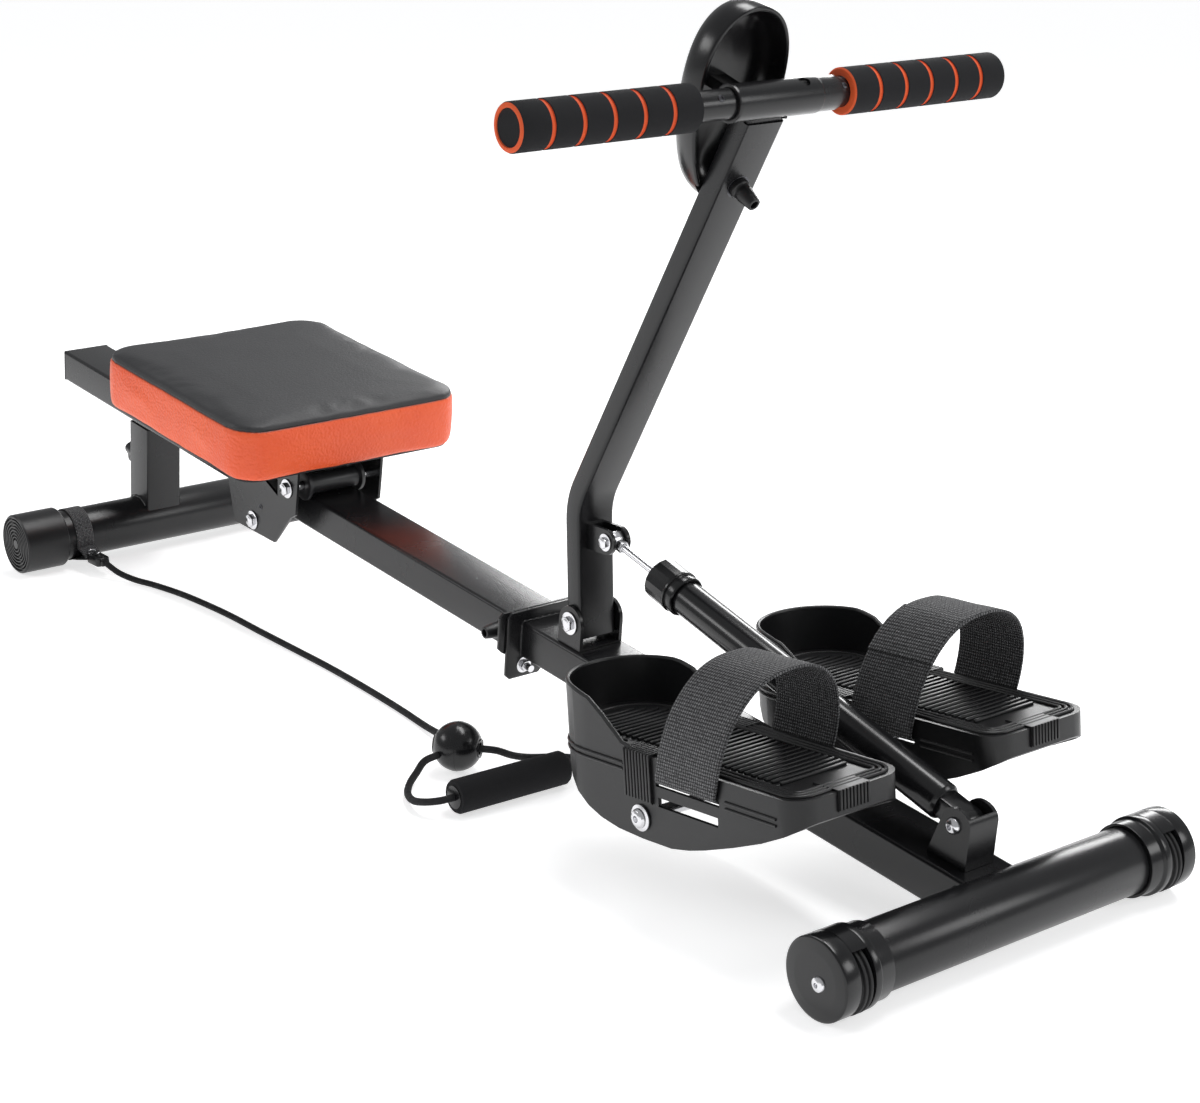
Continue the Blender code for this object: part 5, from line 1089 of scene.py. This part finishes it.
piece("cross_bar", spun(tube_profile(0.2227, 0.0110, 0.0095), facing(BAR, ACROSS), 64), POWDER_COAT,
      "handlebar", ["handlebar_bar"])
sleeve = [(0.0113, -0.0360), (0.0138, -0.0360), (0.0140, -0.0335), (0.0135, -0.0330), (0.0135, 0.0440),
          (0.0127, 0.0450), (0.0127, 0.0630), (0.0113, 0.0630)]
hole_place = facing(BAR + Vector((0.004, 0.030, 0.004)), (0.35, 0, 0.94))
sleeve_shape = carved(spun(eased(sleeve, 0.0004), facing(BAR, ACROSS), 80),
                      spun(rect(0.0, 0.0046, 0.0, 0.02), hole_place, 32))
stem_shape = block((-0.0072, -0.0162, -0.150), (0.0072, 0.0162, -0.0110), 0.0010,
                   Matrix.Translation(BAR) @ ARM_TURN)
piece("sleeve_and_stem", [sleeve_shape, stem_shape], POWDER_COAT, "handlebar", ["handlebar_tee"], 30.0)
small = [(0.0, 0.0), (0.0027, 0.0), (0.0025, 0.0007), (0.0014, 0.0009), (0.0011, 0.0002), (0.0, 0.0002)]
toward = Vector((0.75, 0.0, 0.45)).normalized()
for word, y in (("right", -0.0500), ("left", 0.0668)):
    piece("bar_screw_" + word, spun(small, facing(BAR + Vector((0, y, 0)) + toward * 0.0108, toward), 24),
          DARK_STEEL, "handlebar")
for word, side in SIDES:
    weld_bead("stem_weld_" + word, [BAR + Vector((x, side * 0.0160, z)) for x, z in arc(0.0138, 205, 10, 9)],
              "handlebar", 0.0011)


# ---- Monitor
# An egg-shaped moulded shell, hollow towards the handlebar, with a round rim.  Its front carries a
# small display window and one push button for the rider.
TILT = math.radians(18)
MONITOR = Matrix.Translation(BAR) @ Matrix.Rotation(TILT, 4, "Y")
EGG_HALF, EGG_LOW, EGG_HIGH = 0.040, -0.092, 0.0585
RIM_X, SHELL_DEPTH = -0.026, 0.030
BACK_X = RIM_X - SHELL_DEPTH
EGG_STEPS = 96


def egg_point(angle, shrink, x):
    """A point on the egg outline, fuller above its middle."""
    rise = math.cos(angle)
    width = 0.98 * (EGG_HALF - shrink) * (1 + 0.20 * rise)
    fuller = 1.10 - 0.10 * math.sin(angle) ** 2
    reach_up = (EGG_HIGH - EGG_LOW) / 2 - shrink
    return Vector((x, width * math.sin(angle) * fuller, (EGG_HIGH + EGG_LOW) / 2 + reach_up * rise))


def egg_rings(steps):
    """A closed skin of egg outlines from (shrink, share of the depth) pairs, in order."""
    skin = bmesh.new()
    rings = []
    for shrink, depth in steps:
        points = [egg_point(math.tau * step / EGG_STEPS, shrink, RIM_X - depth * SHELL_DEPTH)
                  for step in range(EGG_STEPS)]
        rings.append([skin.verts.new(point) for point in points])
    for lower, upper in zip(rings, rings[1:]):
        for i in range(EGG_STEPS):
            skin.faces.new((lower[i - 1], lower[i], upper[i], upper[i - 1]))
    for ring in (rings[0], rings[-1]):
        skin.faces.new(ring)
    return skin


# outside from the inner rim to the back, then the bowl from its floor up to the rim
OUTSIDE = [(0.0145, 1.0), (0.0115, 0.99), (0.0080, 0.955), (0.0050, 0.88), (0.0028, 0.78), (0.0013, 0.64),
           (0.0004, 0.50), (0.0, 0.35), (0.0, 0.07), (0.0004, 0.02), (0.0012, 0.0)]
INSIDE = [(0.0024, 0.0), (0.0033, 0.02), (0.0038, 0.10), (0.0050, 0.32), (0.0074, 0.52), (0.0110, 0.67),
          (0.0160, 0.79), (0.0220, 0.865), (0.0290, 0.90)]
arm_room = block((-ARM_DEEP / 2 - 0.0030, -ARM_WIDE / 2 - 0.0020, -0.14),
                 (0.08, ARM_WIDE / 2 + 0.0020, -0.02), 0.0005, Matrix.Rotation(-TILT, 4, "Y") @ ARM_TURN)
shell = carved(egg_rings(OUTSIDE + INSIDE), arm_room)
strut = block((BACK_X + 0.002, -0.008, -0.013), (-0.0139, 0.008, -0.004), 0.0010)
piece("monitor_shell", [in_frame(shell, MONITOR), in_frame(strut, MONITOR)], GLOSS_PLASTIC, "handlebar",
      ["monitor_housing"], 40.0)

glass, tree, shader = finish("display_glass", (0.045, 0.055, 0.052), 0.08)
where = place_of(tree)
stripe = calc(tree, "FRACT", calc(tree, "MULTIPLY", node(tree, "SeparateXYZ", {0: where})[2], 900.0))
tinted(tree, shader, stripe, (0.040, 0.050, 0.046), (0.070, 0.082, 0.074))
between(tree, cloudy(tree, where, 60.0), 0.05, 0.14, shader.inputs["Roughness"])


def panel(length, width, corner, low, high):
    """A flat panel on the shell's front about the middle of the display."""
    return slab(round_box(length, width, corner, (0.0, 0.010), 5), BACK_X + low, BACK_X + high, "X")


piece("display_window", in_frame(softened(panel(0.038, 0.028, 0.005, -0.0018, -0.0003), 0.0004), MONITOR),
      glass, "handlebar", ["monitor_screen"])
bezel = carved(softened(panel(0.043, 0.033, 0.007, -0.0012, 0.0004), 0.0004),
               panel(0.0386, 0.0286, 0.0053, -0.01, 0.01))
piece("display_bezel", in_frame(bezel, MONITOR), MATT_PLASTIC, "handlebar")
NYLON = grained("white_nylon", (0.55, 0.55, 0.52), (0.70, 0.70, 0.67), 0.40, 0.55, 900.0, 0.2, 0.0002)
button_place = MONITOR @ Matrix.Translation((BACK_X, 0, -0.024)) @ Matrix.Rotation(-math.pi / 2, 4, "Y")
button = eased([(0.0, -0.0040), (0.0063, -0.0040), (0.0063, 0.0024), (0.0055, 0.0031), (0.0, 0.0027)], 0.0004)
piece("push_button", spun(button, button_place, 40), NYLON, "monitor_button", ["monitor_button"])


# ---- Pedals
# Injection-moulded foot pedals tilt on one steel axle.  A round heel cup stands behind a ribbed deck
# with three border lines, and combed clips at the sides and toe hold the deck to its skirt.
PEDAL_AXLE = Vector((0.439, 0.0, 0.0647))
PEDAL_ACROSS, PEDAL_TILT = 0.0943, math.radians(-5.4)
PEDAL_HALF = 0.0515
HEEL = PEDAL_HALF - 0.1165
TOE, TOE_RADIUS, DECK = 0.167, 0.020, 0.048
cad_look("pedal_axle", BRIGHT_STEEL)


def toe_line(inset, rear, lift):
    """A line along one side, round the toe and back, at an inset from the edge."""
    half, corner = PEDAL_HALF - inset, TOE_RADIUS - inset
    right = [(rear + (TOE - TOE_RADIUS - rear) * t / 4, -half) for t in range(5)]
    for side in (-1, 1):
        for step in range(1, 8):
            angle = math.pi / 2 * step / 7 - (math.pi / 2 if side < 0 else 0)
            right.append((TOE - TOE_RADIUS + corner * math.cos(angle),
                          side * (half - corner) + corner * math.sin(angle)))
    right += [(TOE - TOE_RADIUS - (TOE - TOE_RADIUS - rear) * t / 4, half) for t in range(1, 5)]
    return [Vector((u, v, lift)) for u, v in right]


def heel_line(inset, front, lift):
    """A line round the heel at an inset from the edge."""
    half = PEDAL_HALF - inset
    turns = [math.pi * step / 20 for step in range(21)]
    return ([Vector((front, half, lift))]
            + [Vector((HEEL - half * math.sin(turn), half * math.cos(turn), lift)) for turn in turns]
            + [Vector((front, -half, lift))])


CUP_RIM = [(-0.118, 0.0830), (-0.076, 0.0815), (-0.058, 0.0775), (-0.044, 0.0690), (-0.020, 0.0515),
           (-0.006, 0.0484)]


def rim_line(inset):
    """A line along the top of the cup's wall, down to the deck at both ends."""
    half = PEDAL_HALF - inset
    flat = [(u, half) for u in (-0.008, -0.014, -0.020, -0.032, -0.044, -0.051, -0.058)]
    flat += [(HEEL - half * math.sin(math.pi * step / 24), half * math.cos(math.pi * step / 24))
             for step in range(25)]
    flat += [(u, -v) for u, v in reversed(flat[:7])]
    line = []
    for u, v in flat:
        for (u1, w1), (u2, w2) in zip(CUP_RIM, CUP_RIM[1:]):
            if u1 <= u <= u2:
                line.append(Vector((u, v, w1 + (w2 - w1) * (u - u1) / (u2 - u1))))
                break
    return line


def ridge(line, radius, place):
    """A thin round bead along a line, as a bmesh in a frame."""
    mesh = swept("ridge", line, radius, 2)
    shape = bmesh.new()
    shape.from_mesh(mesh)
    bpy.data.meshes.remove(mesh)
    return in_frame(shape, place)


def pedal_frame(side):
    """A pedal's own frame on its axle."""
    return Matrix.Translation(PEDAL_AXLE + ACROSS * side * PEDAL_ACROSS) @ Matrix.Rotation(PEDAL_TILT, 4, "Y")


def deck_half(u):
    """Half the length of the deck's rib at a station, shorter in the heel and at the toe."""
    if u < HEEL + 0.012:
        return math.sqrt(max(0.0002, 0.0325 ** 2 - (HEEL + 0.012 - u) ** 2))
    return 0.0325 - max(0.0, u - 0.126) * 0.9


AXLE_END = 0.1464
dome = [(0.0, AXLE_END), (0.0100, AXLE_END), (0.0100, AXLE_END + 0.0014), (0.0074, AXLE_END + 0.0018),
        (0.0072, AXLE_END + 0.0030), (0.0060, AXLE_END + 0.0048), (0.0040, AXLE_END + 0.0056),
        (0.0026, AXLE_END + 0.0057), (0.0022, AXLE_END + 0.0030), (0.0, AXLE_END + 0.0030)]
for word, side in SIDES:
    place = pedal_frame(side)
    cad_look("pedal_" + word, MATT_PLASTIC)
    tread = []
    for u in (-0.0860 + 0.0069 * index for index in range(32)):
        half = deck_half(u)
        tread.append(block((u - 0.0017, -half, DECK - 0.0006), (u + 0.0017, half, DECK + 0.0024), 0.0013,
                           place))
    for inset in (0.0060, 0.0105, 0.0150):
        tread.append(ridge(toe_line(inset, -0.016, DECK + 0.0006), 0.0015, place))
    tread.append(ridge(heel_line(0.0135, -0.030, DECK + 0.0002), 0.0010, place))
    beads = [ridge(rim_line(0.0015), 0.0018, place)]
    for lift in (0.0325, 0.0372):
        beads.append(ridge(heel_line(-0.0003, -0.018, lift), 0.0012, place))
        beads += [ridge([Vector((u, v, lift - 0.004)) for u in (0.094, 0.110, 0.130, 0.146)], 0.0011, place)
                  for v in (-PEDAL_HALF - 0.0002, PEDAL_HALF + 0.0002)]
    combs = []
    for edge_side in (-1, 1):
        for u in (-0.0150 + 0.0035 * tooth for tooth in range(9)):
            for near, far, low, high, width in ((0.0010, 0.0024, 0.0140, DECK + 0.0014, 0.0004),
                                                (-0.0150, 0.0010, DECK + 0.0010, DECK + 0.0023, 0.0003)):
                wall = sorted((edge_side * (PEDAL_HALF + near), edge_side * (PEDAL_HALF + far)))
                combs.append(block((u - 0.0011, wall[0], low), (u + 0.0011, wall[1], high), width, place))
    for v in (-0.0128 + 0.0032 * tooth for tooth in range(9)):
        combs.append(block((TOE + 0.0006, v - 0.0010, 0.0345), (TOE + 0.0026, v + 0.0010, DECK + 0.0014),
                           0.0004, place))
    for name, shapes in (("deck_ribs_", tread), ("skirt_lines_", beads), ("clip_combs_", combs)):
        piece(name + word, shapes, MATT_PLASTIC, "pedal_" + word)
    piece("axle_bolt_" + word, spun(eased(dome, 0.0002), facing(PEDAL_AXLE, (0, side, 0)), 48), BRIGHT_STEEL,
          "front_frame", ["pedal_bolt_" + word])


# ---- Pedal straps
# Coarse 65 mm polyester webbing comes out of a slot on each side of the pedal and leans forward over
# the foot.  The left one shows the stitched overlap of its two ends.
STRAP_WIDE = 0.065
STRAP_OUT = PEDAL_HALF + 0.0022


def strap_line():
    """The strap's middle line in the pedal's own (across, up) plane."""
    leg = [(STRAP_OUT - 0.0110, 0.02975), (STRAP_OUT - 0.0045, 0.02975), (STRAP_OUT - 0.0012, 0.0314),
           (STRAP_OUT, 0.0350)]
    for step in range(25):
        angle = math.pi / 2 * step / 24
        leg.append(((STRAP_OUT + 0.001) * math.cos(angle) ** 0.82,
                    DECK + 0.004 + 0.0695 * math.sin(angle) ** 0.92))
    return [Vector((-v, w)) for v, w in leg] + [Vector((v, w)) for v, w in reversed(leg[:-1])]


line = strap_line()
lengths = [0.0]
for a, b in zip(line, line[1:]):
    lengths.append(lengths[-1] + (b - a).length)


def strap_spot(along):
    """The point on the strap's line at a share of its length."""
    goal = along * lengths[-1]
    for index in range(len(line) - 1):
        if lengths[index + 1] >= goal:
            share = (goal - lengths[index]) / (lengths[index + 1] - lengths[index])
            return line[index].lerp(line[index + 1], share)
    return line[-1]


def strap_placer(place, lift, start, finish_at):
    """Places points of a strap, or of part of its length, by their shares along and across it."""
    def placer(along, across):
        share = start + (finish_at - start) * along
        spot = strap_spot(share)
        rear = 0.020 + 0.32 * max(0.0, spot.y - 0.032)
        away = (strap_spot(min(1.0, share + 0.004)) - strap_spot(max(0.0, share - 0.004))).normalized()
        out = Vector((-away.y, away.x))
        ripple = 0.0004 * noise.noise(Vector((along * 9.0, across * 3.0, start)))
        if 0.06 < share < 0.94:
            spot = spot + out * (lift + ripple)
        return place @ Vector((rear + STRAP_WIDE * across, spot.x, spot.y))
    return placer


YARN_ALONG, YARN_ACROSS = 0.0026, 0.0023
for word, side in SIDES:
    ribbon("foot_strap_" + word, strap_placer(pedal_frame(side), 0.0, 0.0, 1.0), (150, 20),
           (lengths[-1] / YARN_ALONG, STRAP_WIDE / YARN_ACROSS), 0.0018, "pedal_" + word,
           ["pedal_strap_" + word])
ribbon("strap_overlap", strap_placer(pedal_frame(1), 0.0016, 0.27, 0.43), (30, 20),
       (lengths[-1] * 0.16 / YARN_ALONG, STRAP_WIDE / YARN_ACROSS), 0.0013, "pedal_left")
